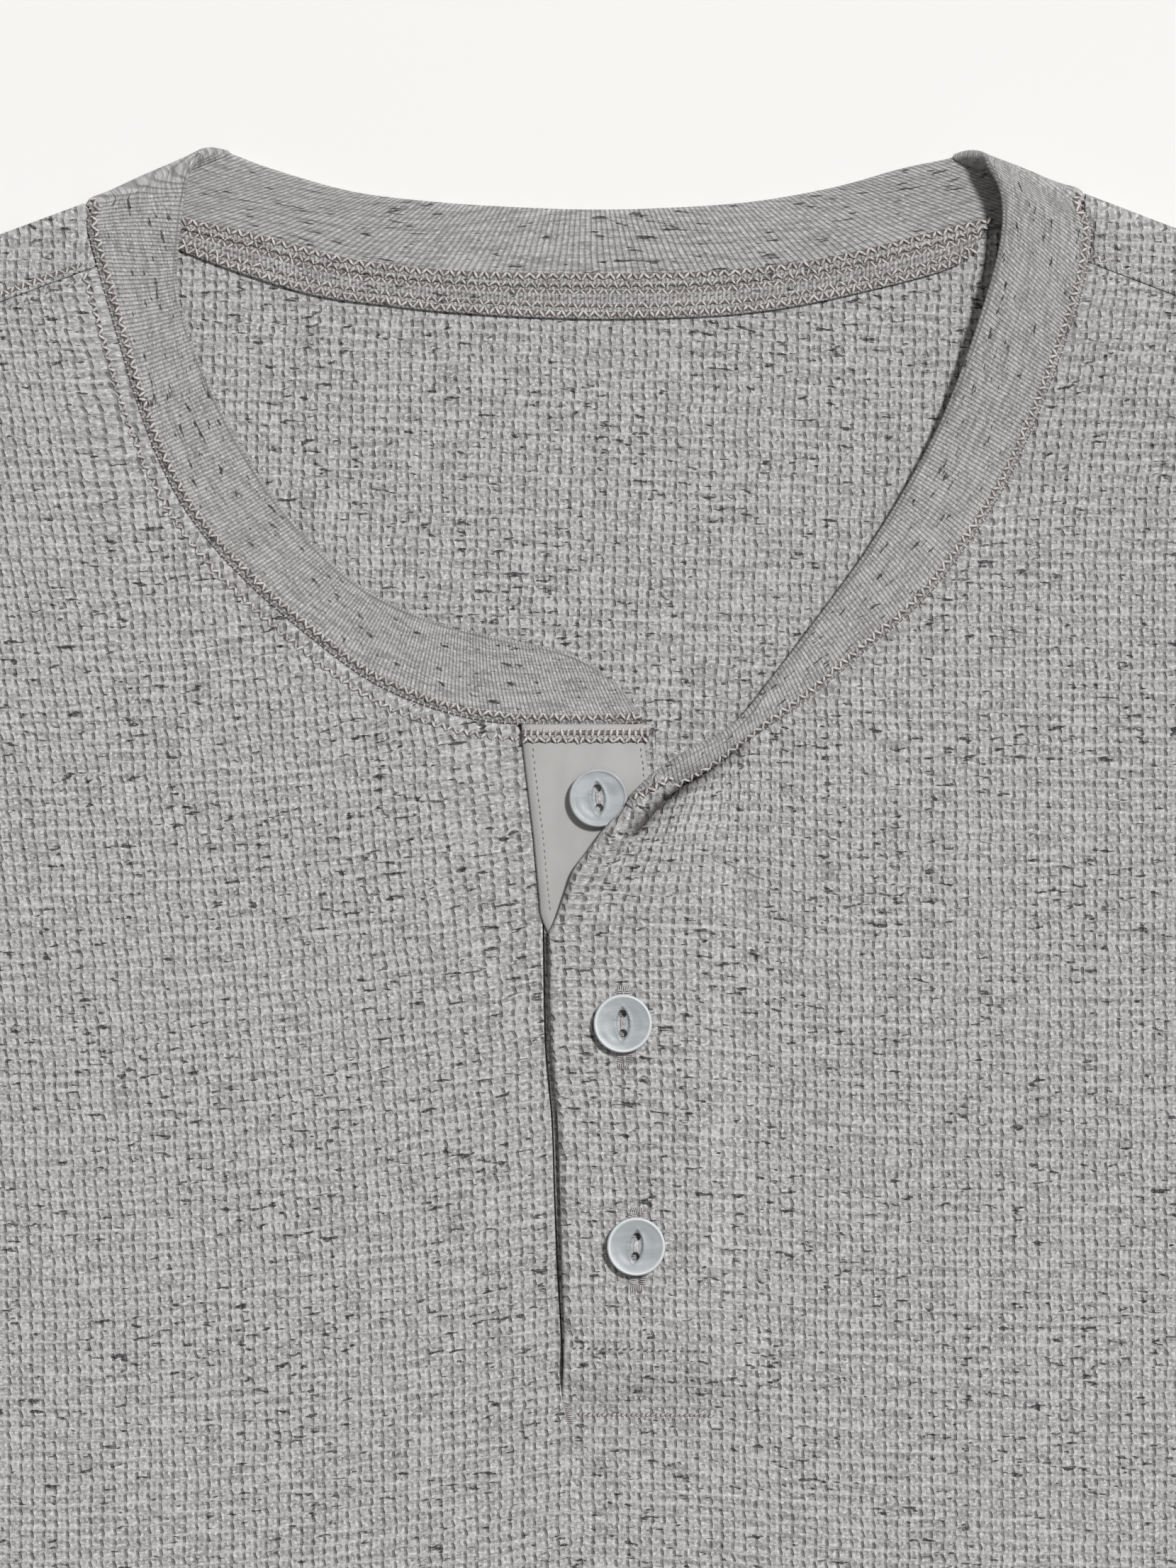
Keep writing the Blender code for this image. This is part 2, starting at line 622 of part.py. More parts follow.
def sleeve(side, name):
    """A flat tube, open at the armhole and at the cuff."""
    tip = Vector((side * SHOULDER_TIP[0], SHOULDER_TIP[1]))
    crown = Vector((side * SLEEVE_CROWN[0], SLEEVE_CROWN[1]))
    outer = Vector((side * CUFF_OUTER[0], CUFF_OUTER[1]))
    inner = Vector((side * CUFF_INNER[0], CUFF_INNER[1]))
    under = Vector((side * UNDERARM[0], UNDERARM[1]))
    hole = armhole(side, 1.0)
    across, along = SLEEVE_ACROSS, SLEEVE_ALONG
    loops = []
    for i in range(along + 1):
        v = i / along
        top = tip.lerp(crown, v).lerp(crown.lerp(outer, v), v)
        bottom = under.lerp(inner, v)
        width = (bottom - top).length
        ray = (bottom - top) / width
        top_radius = FOLD_RADIUS
        under_radius = SIDE_RADIUS + (FOLD_RADIUS - SIDE_RADIUS) * ease(0.0, 0.2, v)
        fade = (1.0 - ease(0.0, 0.45, v))

        def place(distance):
            k = min(1.0, max(0.0, distance / width))
            at = k * (len(hole) - 1)
            j = min(int(at), len(hole) - 2)
            bowed = hole[j].lerp(hole[j + 1], at - j)
            return top + ray * distance + (bowed - tip.lerp(under, k)) * fade

        def upper(distance):
            spot = place(distance)
            rise = 2 * (top_radius - SIDE_RADIUS) * (1.0 - ease(LOFT_START, LOFT_END, distance * 0.97))
            rise += 2 * (under_radius - SIDE_RADIUS) * (1.0 - ease(8.0, 50.0, width - distance))
            soft = ease(4.0, 22.0, distance) * ease(4.0, 22.0, width - distance) * ease(0.0, 0.08, v)
            return FRONT_HEIGHT + rise + soft * ridge_height(SLEEVE_RIDGES[side], spot.x, spot.y)

        loop = []
        for j in range(across + 1):
            distance = top_radius + (width - top_radius - under_radius) * j / across
            spot = place(distance)
            loop.append(Vector((spot.x, spot.y, upper(distance))))
        for angle in (45, 0, -45):
            a = math.radians(angle)
            spot = place(width - under_radius * (1 - math.cos(a)))
            loop.append(Vector((spot.x, spot.y, BACK_HEIGHT + under_radius * (1 + math.sin(a)))))
        for j in range(across + 1):
            distance = top_radius + (width - top_radius - under_radius) * (1 - j / across)
            spot = place(distance)
            loop.append(Vector((spot.x, spot.y, BACK_HEIGHT)))
        for angle in (-45, 0, 45):
            a = math.radians(angle)
            spot = place(top_radius * (1 - math.cos(a)))
            loop.append(Vector((spot.x, spot.y, BACK_HEIGHT + top_radius * (1 + math.sin(a)))))
        loops.append(loop)
    ring = len(loops[0])
    verts = [point for loop in loops for point in loop]
    faces = []
    for i in range(along):
        for j in range(ring):
            a, b = i * ring + j, i * ring + (j + 1) % ring
            faces.append((a, b, b + ring, a + ring))
    cloth(name, verts, faces, WAFFLE, material("waffle_knit_" + name, WAFFLE_COLOUR, 0.95))


def placket_layer(name, height, wall, width, end, finish):
    """A flat strip sewn to the slit's edge on the button side, reaching under the overlap."""
    columns = UNDERLAP_COLUMNS + 1
    verts, faces = [], []
    for i in range(UNDERLAP_ROWS + 1):
        y = UNDERLAP_TOP + (end - UNDERLAP_TOP) * i / UNDERLAP_ROWS
        left = slit_x(y, 1) + SLIT_SEAM_GAP
        verts += [Vector((left + width * j / UNDERLAP_COLUMNS, y, height)) for j in range(columns)]
    for i in range(UNDERLAP_ROWS):
        for j in range(UNDERLAP_COLUMNS):
            a = i * columns + j
            faces.append((a, a + 1, a + 1 + columns, a + columns))
    cloth(name, verts, faces, wall, finish)


def button(index, centre_x, centre_y, seat, finish):
    """A two-hole fish-eye button, turned from its section and drilled."""
    mesh = bpy.data.meshes.new(f"button_{index}")
    bm = bmesh.new()
    section = [bm.verts.new((r * MM, 0.0, z * MM)) for r, z in BUTTON_SECTION]
    edges = [bm.edges.new(pair) for pair in zip(section, section[1:])]
    bmesh.ops.spin(bm, geom=section + edges, cent=(0, 0, 0), axis=(0, 0, 1), angle=math.tau,
                   steps=BUTTON_SEGMENTS, use_merge=True)
    bmesh.ops.remove_doubles(bm, verts=bm.verts, dist=0.01 * MM)
    bmesh.ops.recalc_face_normals(bm, faces=bm.faces)
    bm.to_mesh(mesh)
    bm.free()
    mesh.materials.append(finish)
    mesh.shade_smooth()
    item = bpy.data.objects.new(f"button_{index}", mesh)
    bpy.context.scene.collection.objects.link(item)
    item.location = (centre_x * MM, centre_y * MM, (seat + GAP) * MM)
    for sign in (-1, 1):
        bm = bmesh.new()
        bmesh.ops.create_cone(bm, cap_ends=True, segments=12, radius1=BUTTON_HOLE_RADIUS * MM,
                              radius2=BUTTON_HOLE_RADIUS * MM, depth=DRILL_DEPTH * MM)
        drill_mesh = bpy.data.meshes.new("drill")
        bm.to_mesh(drill_mesh)
        bm.free()
        drill = bpy.data.objects.new(f"drill_{index}_{'a' if sign < 0 else 'b'}", drill_mesh)
        bpy.context.scene.collection.objects.link(drill)
        drill.location = (centre_x * MM, (centre_y + sign * BUTTON_HOLE_SPACING / 2) * MM,
                          (seat + DRILL_HEIGHT) * MM)
        drill.hide_render = True
        drill.display_type = 'WIRE'
        cut = item.modifiers.new("hole", 'BOOLEAN')
        cut.operation = 'DIFFERENCE'
        cut.object = drill


def centre_on_origin():
    """Move everything so that the origin is under the middle of the whole garment."""
    bpy.context.view_layer.update()
    graph = bpy.context.evaluated_depsgraph_get()
    places = []
    items = [item for item in bpy.context.scene.objects if item.type == 'MESH']
    for item in items:
        if not item.hide_render:
            shown = item.evaluated_get(graph)
            places += [item.matrix_world @ v.co for v in shown.data.vertices]
    middle = Vector(((min(p.x for p in places) + max(p.x for p in places)) / 2,
                     (min(p.y for p in places) + max(p.y for p in places)) / 2,
                     min(p.z for p in places)))
    for item in items:
        if item.data.users == 1 and item.location.length == 0.0:
            item.data.transform(Matrix.Translation(-middle))
        else:
            item.location -= middle
    print("moved by", [round(v / MM, 3) for v in middle])


def main():
    clear_scene()
    front_panel(back_panel())
    sleeve(-1, "sleeve_right")
    sleeve(1, "sleeve_left")
    neckband()
    placket_layer("underlap", UNDERLAP_HEIGHT, WAFFLE, PLACKET_WIDTH - UNDERLAP_TRIM, UNDERLAP_END,
                  material("waffle_knit_underlap", WAFFLE_COLOUR, 0.95))
    placket_layer("underlap_facing", FACING_HEIGHT, WOVEN, PLACKET_WIDTH - FACING_TRIM, FACING_END,
                  material("woven_facing", FACING_COLOUR, 0.8))
    finish = material("button_plastic", BUTTON_COLOUR, 0.4)
    for index, (x, y, seat) in enumerate(BUTTONS, start=1):
        button(index, x, y, seat, finish)
    centre_on_origin()


main()
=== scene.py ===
"""Looks of a long-sleeved thermal top in heather waffle knit, laid flat on its back.

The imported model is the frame. Its cloth nodes are replaced by finer cloth of the same form, cut and sewn as
a maker would: front, back, sleeves, rib neckband, placket, buttons and the sewing that holds them.

All sizes are in millimetres. X runs across the chest, with +X at the wearer's left arm, and y is measured
from the level of the neck's highest points. Each mesh is scaled to metres and set in the frame when it is made.
"""
import logging
import math
from dataclasses import dataclass, field
from enum import Enum
from functools import partial
from typing import Any, Callable, Mapping, Sequence

import bmesh
import bpy
import numpy as np
from mathutils import Matrix, Vector


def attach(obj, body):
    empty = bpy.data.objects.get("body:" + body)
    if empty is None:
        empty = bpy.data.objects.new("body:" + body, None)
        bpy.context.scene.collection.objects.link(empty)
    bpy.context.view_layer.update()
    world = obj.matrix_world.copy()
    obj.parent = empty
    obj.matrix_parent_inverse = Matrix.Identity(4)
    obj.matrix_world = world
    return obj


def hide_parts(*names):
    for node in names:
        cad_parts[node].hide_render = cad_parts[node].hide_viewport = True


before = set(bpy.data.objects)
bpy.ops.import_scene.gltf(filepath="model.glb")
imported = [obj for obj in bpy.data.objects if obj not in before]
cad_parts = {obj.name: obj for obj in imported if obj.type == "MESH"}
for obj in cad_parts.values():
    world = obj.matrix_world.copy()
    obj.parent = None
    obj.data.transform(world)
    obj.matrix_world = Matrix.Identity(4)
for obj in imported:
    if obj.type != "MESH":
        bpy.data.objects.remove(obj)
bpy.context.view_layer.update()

LOG = logging.getLogger("thermal_top")

MM = 0.001
BODY = "root"
BODY_LENGTH = 710.0
NECK_LEVEL = 354.722    # the frame's y at the neck's highest points
FLOOR_LEVEL = 0.005     # and the frame's height at the surface that the garment lies on
KNIT_UV = "knit"        # the cloth's own columns and rows, in millimetres

# Cloth, as the cut pieces have it
WAFFLE_WALL = 1.2
RIB_WALL = 1.8          # folded double
WOVEN_WALL = 1.0
GAP = 0.3

# The body's corners
UNDERARM = (266.0, -287.0)
WAIST = (261.0, -480.0)
HEM_HALF_WIDTH = 258.0
SHOULDER_TIP = (228.0, -59.0)
NECK_POINT = {-1: (-98.8, -11.2), 1: (96.8, -9.2)}
ARMHOLE_BOW = 16.0
SHOULDER_SEAM = 12.0
CORNER_INSET = 0.8

# Sleeves
CUFF_OUTER = (693.0, -486.0)
CUFF_INNER = (618.0, -552.0)
SLEEVE_CROWN = (367.0, -112.0)

# Heights of the middle of each wall
BACK_HEIGHT = WAFFLE_WALL / 2
FRONT_HEIGHT = 2.1
FOLD_RADIUS = 1.7
SIDE_RADIUS = 0.75
NECK_FOLD_EXTRA = 1.2
NECK_FOLD_REACH = 40.0
LOFT_START, LOFT_END = 13.0, 62.0
FACING_HEIGHT = 3.5
OVERLAP_HEIGHT = 4.9
PLACKET_WIDTH = 26.0
OVERLAP_FALL_START, OVERLAP_FALL = 4.5, 9.0
OVERLAP_LEVEL_END = -238.4
SLIT_END = (-4.7, -247.1)
UNDERLAP_END = -237.5
FACING_END = -234.0
SLIT_SEAM_GAP = 0.35
UNDERLAP_WIDTH, FACING_WIDTH = PLACKET_WIDTH - 0.6, PLACKET_WIDTH - 2.8
FACING_TUCK = 2.2       # the facing's edge at the slit is drawn in by this below the rolled corner
FACING_FACE = FACING_HEIGHT + WOVEN_WALL / 2
OVERLAP_FACE = OVERLAP_HEIGHT + WAFFLE_WALL / 2

# The slit: y, x of the front's edge on the button side, x of the overlap's edge
SLIT = (
    (-115.4, -12.7, None),
    (-134.8, -10.4, None),
    (-147.6, -9.2, None),
    (-153.7, -8.9, -7.7),
    (-175.7, -8.5, -7.3),
    (-190.6, -7.2, -6.0),
    (-205.6, -6.7, -5.5),
    (-220.5, -6.1, -5.1),
    (-232.1, -5.4, -4.7),
    (-243.5, -4.9, -4.5),
)
# The overlap's rolled corner: x, y of its outer side, height of its crest
ROLL = (
    (12.9, -122.1, 8.4),
    (9.7, -125.7, 8.4),
    (7.6, -128.5, 8.4),
    (4.0, -132.1, 8.2),
    (0.2, -137.2, 7.6),
    (-2.7, -141.1, 6.9),
    (-4.1, -144.7, 6.3),
    (-6.2, -150.4, 5.4),
    (-7.7, -153.7, 4.9),
)
ROLL_WIDTH = 6.5        # from its outer side to the bottom of the crease beside it
ROLL_CREST = 2.34       # width of the roll's level crest
ROLL_FLANK = 1.0        # space beside the neckband where it stands steeply at the roll

# Neckband: x, y of the seam, x, y of the folded edge, height of the folded edge above the seam
BAND_BUTTON_SIDE = (
    (11.6, -114.5, 10.4, -111.2, 0.2),
    (4.0, -114.9, 5.2, -104.4, 0.3),
    (-5.0, -115.0, -4.0, -98.8, 0.3),
    (-23.0, -113.8, -19.5, -95.3, 0.3),
    (-41.0, -107.6, -33.5, -91.2, 0.3),
    (-55.4, -97.6, -46.1, -84.5, 0.2),
    (-69.5, -85.1, -57.5, -73.3, 0.2),
    (-80.0, -72.5, -67.0, -60.0, 0.2),
    (-87.6, -56.9, -75.0, -44.2, 0.2),
    (-93.6, -37.5, -80.2, -29.0, 0.2),
    (-97.6, -23.1, -80.0, -18.0, 0.2),
    (-99.2, -15.6, -78.4, -6.3, 0.2),
)
BAND_BACK = (
    (-90.0, -13.2, -61.5, -3.9, 0.0),
    (-70.0, -17.2, -46.1, -8.2, 0.0),
    (-46.1, -23.9, -30.0, -10.2, 0.0),
    (-23.0, -26.6, -15.0, -11.2, 0.0),
    (0.0, -27.3, 0.0, -11.7, 0.0),
    (23.0, -26.6, 15.0, -11.4, 0.0),
    (46.1, -23.9, 32.0, -10.2, 0.0),
    (70.0, -17.6, 48.0, -7.4, 0.0),
    (88.0, -12.9, 61.5, -3.7, 0.2),
)
BAND_OVERLAP_SIDE = (
    (97.4, -16.0, 80.6, -9.8, 2.4),
    (95.7, -27.0, 80.2, -20.0, 2.2),
    (91.5, -40.0, 75.3, -37.0, 2.0),
    (86.2, -54.0, 69.2, -53.0, 1.9),
    (78.2, -70.0, 61.5, -67.7, 1.8),
    (66.0, -86.6, 53.0, -81.0, 1.8),
    (53.9, -97.6, 44.0, -93.2, 1.9),
    (42.0, -107.6, 36.4, -103.2, 2.2),
    (30.8, -115.4, 28.4, -113.0, 3.2),
    (23.4, -121.2, 19.8, -117.8, 4.4),
    (17.4, -124.8, 13.6, -121.9, 3.6),
)
BAND_EDGE_POINT = {-1: (-73.0, -0.2), 1: (74.2, -1.0)}
BAND_EDGE_RADIUS = {-1: 1.7, 1: 4.0}
BAND_EDGE_SLIDE = 3.4
BAND_EDGE_DROP = (2.2, 0.7)
BAND_OVER_FACING = 2.6
BAND_TAIL_RISE = 1.2
BAND_TAIL = (-108.0, -124.0)
BAND_CROWN = 0.35       # the overlap's side bulges by this share of its edge's height

# Soft ridges in the cloth: x, y, direction in degrees, half length, half width, height
BODY_RIDGES = (
    (15.0, -141.5, 50.0, 21.0, 6.5, 1.8),
    (44.0, -129.0, 50.0, 26.0, 9.0, 1.4),
    (-178.0, -235.0, 28.0, 70.0, 13.0, 2.6),
    (182.0, -228.0, 150.0, 78.0, 15.0, 2.3),
    (-120.0, -330.0, 74.0, 110.0, 22.0, 1.8),
    (96.0, -372.0, 98.0, 125.0, 26.0, 2.0),
    (-36.0, -452.0, 66.0, 95.0, 20.0, 1.7),
    (176.0, -520.0, 116.0, 110.0, 18.0, 2.4),
    (-186.0, -556.0, 82.0, 90.0, 16.0, 2.1),
    (28.0, -604.0, 8.0, 120.0, 19.0, 1.8),
)
SLEEVE_RIDGES = {
    -1: (
        (-300.0, -205.0, 70.0, 60.0, 12.0, 3.2),
        (-372.0, -270.0, 108.0, 52.0, 11.0, 2.6),
        (-452.0, -352.0, 26.0, 66.0, 10.0, 2.9),
        (-530.0, -425.0, 62.0, 44.0, 9.0, 2.2),
        (-610.0, -478.0, 36.0, 50.0, 10.0, 1.9),
    ),
    1: (
        (292.0, -190.0, 112.0, 64.0, 13.0, 2.9),
        (360.0, -262.0, 148.0, 58.0, 11.0, 3.0),
        (436.0, -322.0, 84.0, 40.0, 10.0, 2.2),
        (512.0, -404.0, 138.0, 72.0, 12.0, 2.7),
        (606.0, -488.0, 128.0, 46.0, 9.0, 2.1),
    ),
}

Array = np.ndarray
Line = Array        # points of a line, one a row


# ---------------------------------------------------------------- lines and forms

def ease(low: float, high: float, value: Any) -> Any:
    """0 below low, 1 above high, and a smooth step between them."""
    k = np.clip((np.asarray(value, float) - low) / (high - low), 0.0, 1.0)
    return k * k * (3.0 - 2.0 * k)


def unit(rows: Array) -> Array:
    """Rows of numbers, each brought to length 1."""
    return rows / (np.linalg.norm(rows, axis=1)[:, None] + 1e-12)


def mirrored(place: tuple[float, float], side: int) -> Array:
    """A plan place of the wearer's left (1), or its twin on the right (-1)."""
    return np.array((side * place[0], place[1]))


def interpolated(line: Line, at: Array, marks: Array | None = None) -> Line:
    """The line's places at some marks, counted in its own points where no marks are given for these."""
    marks = np.arange(len(line)) if marks is None else marks
    return np.column_stack([np.interp(at, marks, values) for values in line.T])


def curve_through(points: Sequence[Sequence[float]], per_span: int = 12) -> Line:
    """Points of a smooth curve through the given ones.

    Args:
        points: the places that it passes through, ends included.
        per_span: how many steps it takes from each place to the next.

    Returns:
        The curve's points, one a row.
    """
    p = np.asarray(points, float)
    q = np.vstack([p[:1], p, p[-1:]])
    f = (np.arange(per_span) / per_span)[:, None]
    out = []
    for a, b, c, d in zip(q, q[1:], q[2:], q[3:]):
        out.append(0.5 * (2 * b + (c - a) * f + (2 * a - 5 * b + 4 * c - d) * f ** 2
                          + (3 * b - a - 3 * c + d) * f ** 3))
    return np.vstack(out + [p[-1:]])


def lengths_along(line: Line) -> Array:
    """The distance along a line at each of its points."""
    return np.concatenate([[0.0], np.cumsum(np.linalg.norm(np.diff(line, axis=0), axis=1))])


def at_shares(line: Line, shares: Array) -> Line:
    """The points of a line at shares of its length."""
    lengths = lengths_along(line)
    return interpolated(line, shares * lengths[-1], lengths)


def beside(line: Line, distance: float) -> Line:
    """A plan line moved to its left by a distance."""
    along = unit(np.gradient(line, axis=0))
    return line + distance * np.column_stack([-along[:, 1], along[:, 0]])


def nearest_on(line: Line, places: Array) -> tuple[Array, Array]:
    """How far places lie from a plan line.

    Args:
        line: the line's points.
        places: plan places, one a row.

    Returns:
        Each place's distance from the line, and the distance along the line at which that is.
    """
    lengths = lengths_along(line)
    best = np.full(len(places), 1e9)
    along = np.zeros(len(places))
    for i, (a, b) in enumerate(zip(line, line[1:])):
        step = b - a
        k = np.clip(((places - a) @ step) / (step @ step + 1e-12), 0.0, 1.0)
        gap = np.linalg.norm(places - a - k[:, None] * step, axis=1)
        closer = gap < best
        best = np.where(closer, gap, best)
        along = np.where(closer, lengths[i] + k * (lengths[i + 1] - lengths[i]), along)
    return best, along


class Shoulder:
    """The fold along one shoulder, from the neck to the shoulder tip."""

    def __init__(self, side: int) -> None:
        """Measure the fold on the wearer's left (1) or right (-1)."""
        self.side = side
        self.start = np.array(NECK_POINT[side])
        self.tip = mirrored(SHOULDER_TIP, side)
        self.length = float(np.linalg.norm(self.tip - self.start))
        self.along = (self.tip - self.start) / self.length
        self.down = np.array((-side * abs(self.along[1]), -abs(self.along[0])))

    def radius(self, t: Any) -> Any:
        """The fold's radius at a distance from the neck."""
        extra = NECK_FOLD_EXTRA if self.side > 0 else 0.0
        return FOLD_RADIUS + extra * np.exp(-(np.maximum(t, 0.0) / NECK_FOLD_REACH) ** 2)

    def measure(self, places: Array) -> tuple[Array, Array]:
        """How far plan places lie along the fold, and how far below it."""
        offset = places - self.start
        return offset @ self.along, offset @ self.down

    def place(self, t: Any, d: Any) -> Array:
        """Plan places from distances along the fold and below it."""
        return self.start + np.multiply.outer(t, self.along) + np.multiply.outer(d, self.down)


SHOULDERS = {side: Shoulder(side) for side in (-1, 1)}


def ridges(table: Sequence[Sequence[float]], x: Array, y: Array) -> Array:
    """The height that a table's soft ridges add at plan places."""
    total = np.zeros_like(x)
    for cx, cy, degrees, length, width, height in table:
        angle = math.radians(degrees)
        a = ((x - cx) * math.cos(angle) + (y - cy) * math.sin(angle)) / length
        b = (-(x - cx) * math.sin(angle) + (y - cy) * math.cos(angle)) / width
        total += height * np.exp(-a * a - b * b) * (a * a + b * b < 9.0)
    return total


def slit_line(column: int) -> Line:
    """An edge of the slit, from its lower end up: column 1 is the button side, 2 the overlap."""
    rows = [(row[column], row[0]) for row in SLIT if row[column] is not None]
    return np.array([SLIT_END] + rows[::-1])


def slit_x(y: Array, column: int) -> Array:
    """Where an edge of the slit runs at heights y."""
    line = slit_line(column)
    return np.interp(y, line[:, 1], line[:, 0])


def shoulder_loft(x: Array, y: Array) -> Array:
    """How far the shoulder folds lift the front."""
    total = np.zeros_like(x)
    for side in (-1, 1):
        t, d = SHOULDERS[side].measure(np.stack([x, y], axis=1))
        full = BACK_HEIGHT + 2 * SHOULDERS[side].radius(t) - FRONT_HEIGHT
        total += full * (1.0 - ease(LOFT_START, LOFT_END, d)) * ((x > 0) == (side > 0))
    return total


def front_ground(x: Array, y: Array) -> Array:
    """Height of the middle of the front's wall, without the placket."""
    return FRONT_HEIGHT + shoulder_loft(x, y) + ridges(BODY_RIDGES, x, y)


def armhole(side: int, count: int = 60) -> Line:
    """The armhole seam, from the shoulder tip to the underarm."""
    k = np.linspace(0.0, 1.0, count + 1)[:, None]
    tip, under = mirrored(SHOULDER_TIP, side), mirrored(UNDERARM, side)
    bow = np.hstack([-side * ARMHOLE_BOW * np.sin(math.pi * k ** 0.85), np.zeros_like(k)])
    return tip + (under - tip) * k + bow


def body_edge(side: int) -> Line:
    """A body panel's outer edge: the side seam from the hem to the underarm, then the armhole up."""
    corner = (UNDERARM[0] - CORNER_INSET, UNDERARM[1] - CORNER_INSET)
    seam = curve_through([mirrored(place, side) for place in ((HEM_HALF_WIDTH, -BODY_LENGTH), WAIST, corner)], 16)
    hole = beside(armhole(side), -side * GAP)[::-1]
    return np.vstack([seam, hole[2:]])


def to_shoulder_seam(line: Line, side: int) -> Line:
    """A line that climbs to a shoulder, ended exactly where it meets the shoulder seam."""
    d = SHOULDERS[side].measure(line)[1]
    last = int(np.nonzero(d > SHOULDER_SEAM + GAP / 2)[0][-1])
    follow = min(last + 1, len(line) - 1)
    step = line[follow] - line[last] if follow > last else line[last] - line[last - 1]
    drop = float(step @ SHOULDERS[side].down)
    share = (SHOULDER_SEAM + GAP / 2 - d[last]) / drop
    return np.vstack([line[:last + 1], line[last] + step * share])


def band_turn(side: int) -> tuple[list, list]:
    """Seam and folded edge as the band turns over a shoulder, from the front layer to the back one."""
    shoulder = SHOULDERS[side]
    edge = np.array(BAND_EDGE_POINT[side])
    seam_radius, edge_radius = float(shoulder.radius(0.0)), BAND_EDGE_RADIUS[side]
    seams, edges = [], []
    for degrees in (90, 45, 0, -45, -90):
        angle = math.radians(degrees)
        inward, rise = 1 - math.cos(angle), 1 + math.sin(angle)
        seam = shoulder.start + shoulder.down * seam_radius * inward
        drop = BAND_EDGE_DROP[0 if angle > 0 else 1] * inward
        top = edge + np.array((side * BAND_EDGE_SLIDE * math.sin(angle), -drop))
        seams.append((*seam, RIB_WALL / 2 + seam_radius * rise))
        edges.append((*top, RIB_WALL / 2 + edge_radius * rise))
    return seams, edges


def band_front(rows: Sequence[Sequence[float]], on_overlap: bool) -> tuple[list, list]:
    """Seam and folded edge where the band lies on the front."""
    seams, edges = [], []
    for i, (seam_x, seam_y, edge_x, edge_y, lift) in enumerate(rows):
        base = float(front_ground(np.array([seam_x]), np.array([seam_y]))[0]) + (RIB_WALL - WAFFLE_WALL) / 2
        if on_overlap:
            base += BAND_TAIL_RISE * float(ease(*BAND_TAIL, seam_y))
        elif i < 3:
            base = max(base, BAND_OVER_FACING)
        seams.append((seam_x, seam_y, base))
        edges.append((edge_x, edge_y, base + lift))
    return seams, edges


def band_edges() -> tuple[Line, Line]:
    """The neckband's seam and folded edge, from the underlap round the neck to the overlap's corner."""
    back = ([(a, b, RIB_WALL / 2) for a, b, c, d, lift in BAND_BACK],
            [(c, d, RIB_WALL / 2 + lift) for a, b, c, d, lift in BAND_BACK])
    right = [rows[::-1] for rows in band_turn(1)]
    parts = (band_front(BAND_BUTTON_SIDE, False), band_turn(-1), back, right, band_front(BAND_OVERLAP_SIDE, True))
    seam, edge = ([place for part in parts for place in part[i]] for i in (0, 1))
    return curve_through(seam, SPAN), curve_through(edge, SPAN)


SPAN = 24       # points of the band's lines for each station
BAND_SEAM, BAND_EDGE = band_edges()
BAND_INWARD = unit(BAND_EDGE - BAND_SEAM)
LEFT_TURN = len(BAND_BUTTON_SIDE) * SPAN
LEFT_BACK = LEFT_TURN + 4 * SPAN
RIGHT_TURN = (len(BAND_BUTTON_SIDE) + 5 + len(BAND_BACK)) * SPAN
RIGHT_FRONT = RIGHT_TURN + 5 * SPAN

# How far inside the band's edge the stitched ditch lies: station, millimetres
DITCH = ((0, 2.1), (5, 2.1), (8, 1.8), (11, 1.3), (13, 0.6), (16, 0.0), (26, 0.0), (29, -0.5), (31, -1.1),
         (36, -1.1), (39, -0.8), (41, -0.4))
# The turned-in edge of the back's neck seam, where its lower side lies: x, y
ALLOWANCE_EDGE = ((-80.0, -19.7), (-69.0, -23.9), (-53.9, -28.5), (-38.4, -30.7), (-23.0, -32.2), (0.0, -33.2),
                  (23.0, -32.7), (38.4, -31.1), (53.9, -27.9), (69.2, -23.9), (75.3, -20.7))
ALLOWANCE_OVER_BAND = 2.8


def stitched_seam() -> Line:
    """Where the neckband and the body meet, in the ditch between the rows of stitches."""
    offset = np.interp(np.arange(len(BAND_SEAM)) / SPAN, *zip(*DITCH))
    return BAND_SEAM + BAND_INWARD * offset[:, None]


SEAM = stitched_seam()


# ---------------------------------------------------------------- cloth as meshes

Surface = Callable[[Array, Array], tuple[Array, Array]]


@dataclass
class Patch:
    """One grid of a cloth piece, and the surface that its points go to.

    Attributes:
        across: steps from one side to the other.
        along: steps from one end to the other.
        surface: gives the places and the knit coordinates for arrays of column and row numbers.
    """

    across: int
    along: int
    surface: Surface


def in_frame(points: Array) -> Array:
    """Places in the frame, in metres, of points in millimetres from the neck's level."""
    return (points + np.array((0.0, NECK_LEVEL, FLOOR_LEVEL))) * MM


def as_mesh(bm: bmesh.types.BMesh, name: str) -> bpy.types.Mesh:
    """A new mesh of a finished bmesh, which is freed."""
    mesh = bpy.data.meshes.new(name)
    bm.to_mesh(mesh)
    bm.free()
    return mesh


def placed(name: str, data: bpy.types.ID) -> bpy.types.Object:
    """A new object of a mesh, lamp or camera, in the scene."""
    item = bpy.data.objects.new(name, data)
    bpy.context.scene.collection.objects.link(item)
    return item


def plan_of(mesh: bpy.types.Mesh) -> Array:
    """The x and y of a mesh's points."""
    places = np.empty(len(mesh.vertices) * 3)
    mesh.vertices.foreach_get("co", places)
    return places.reshape(-1, 3)[:, :2]


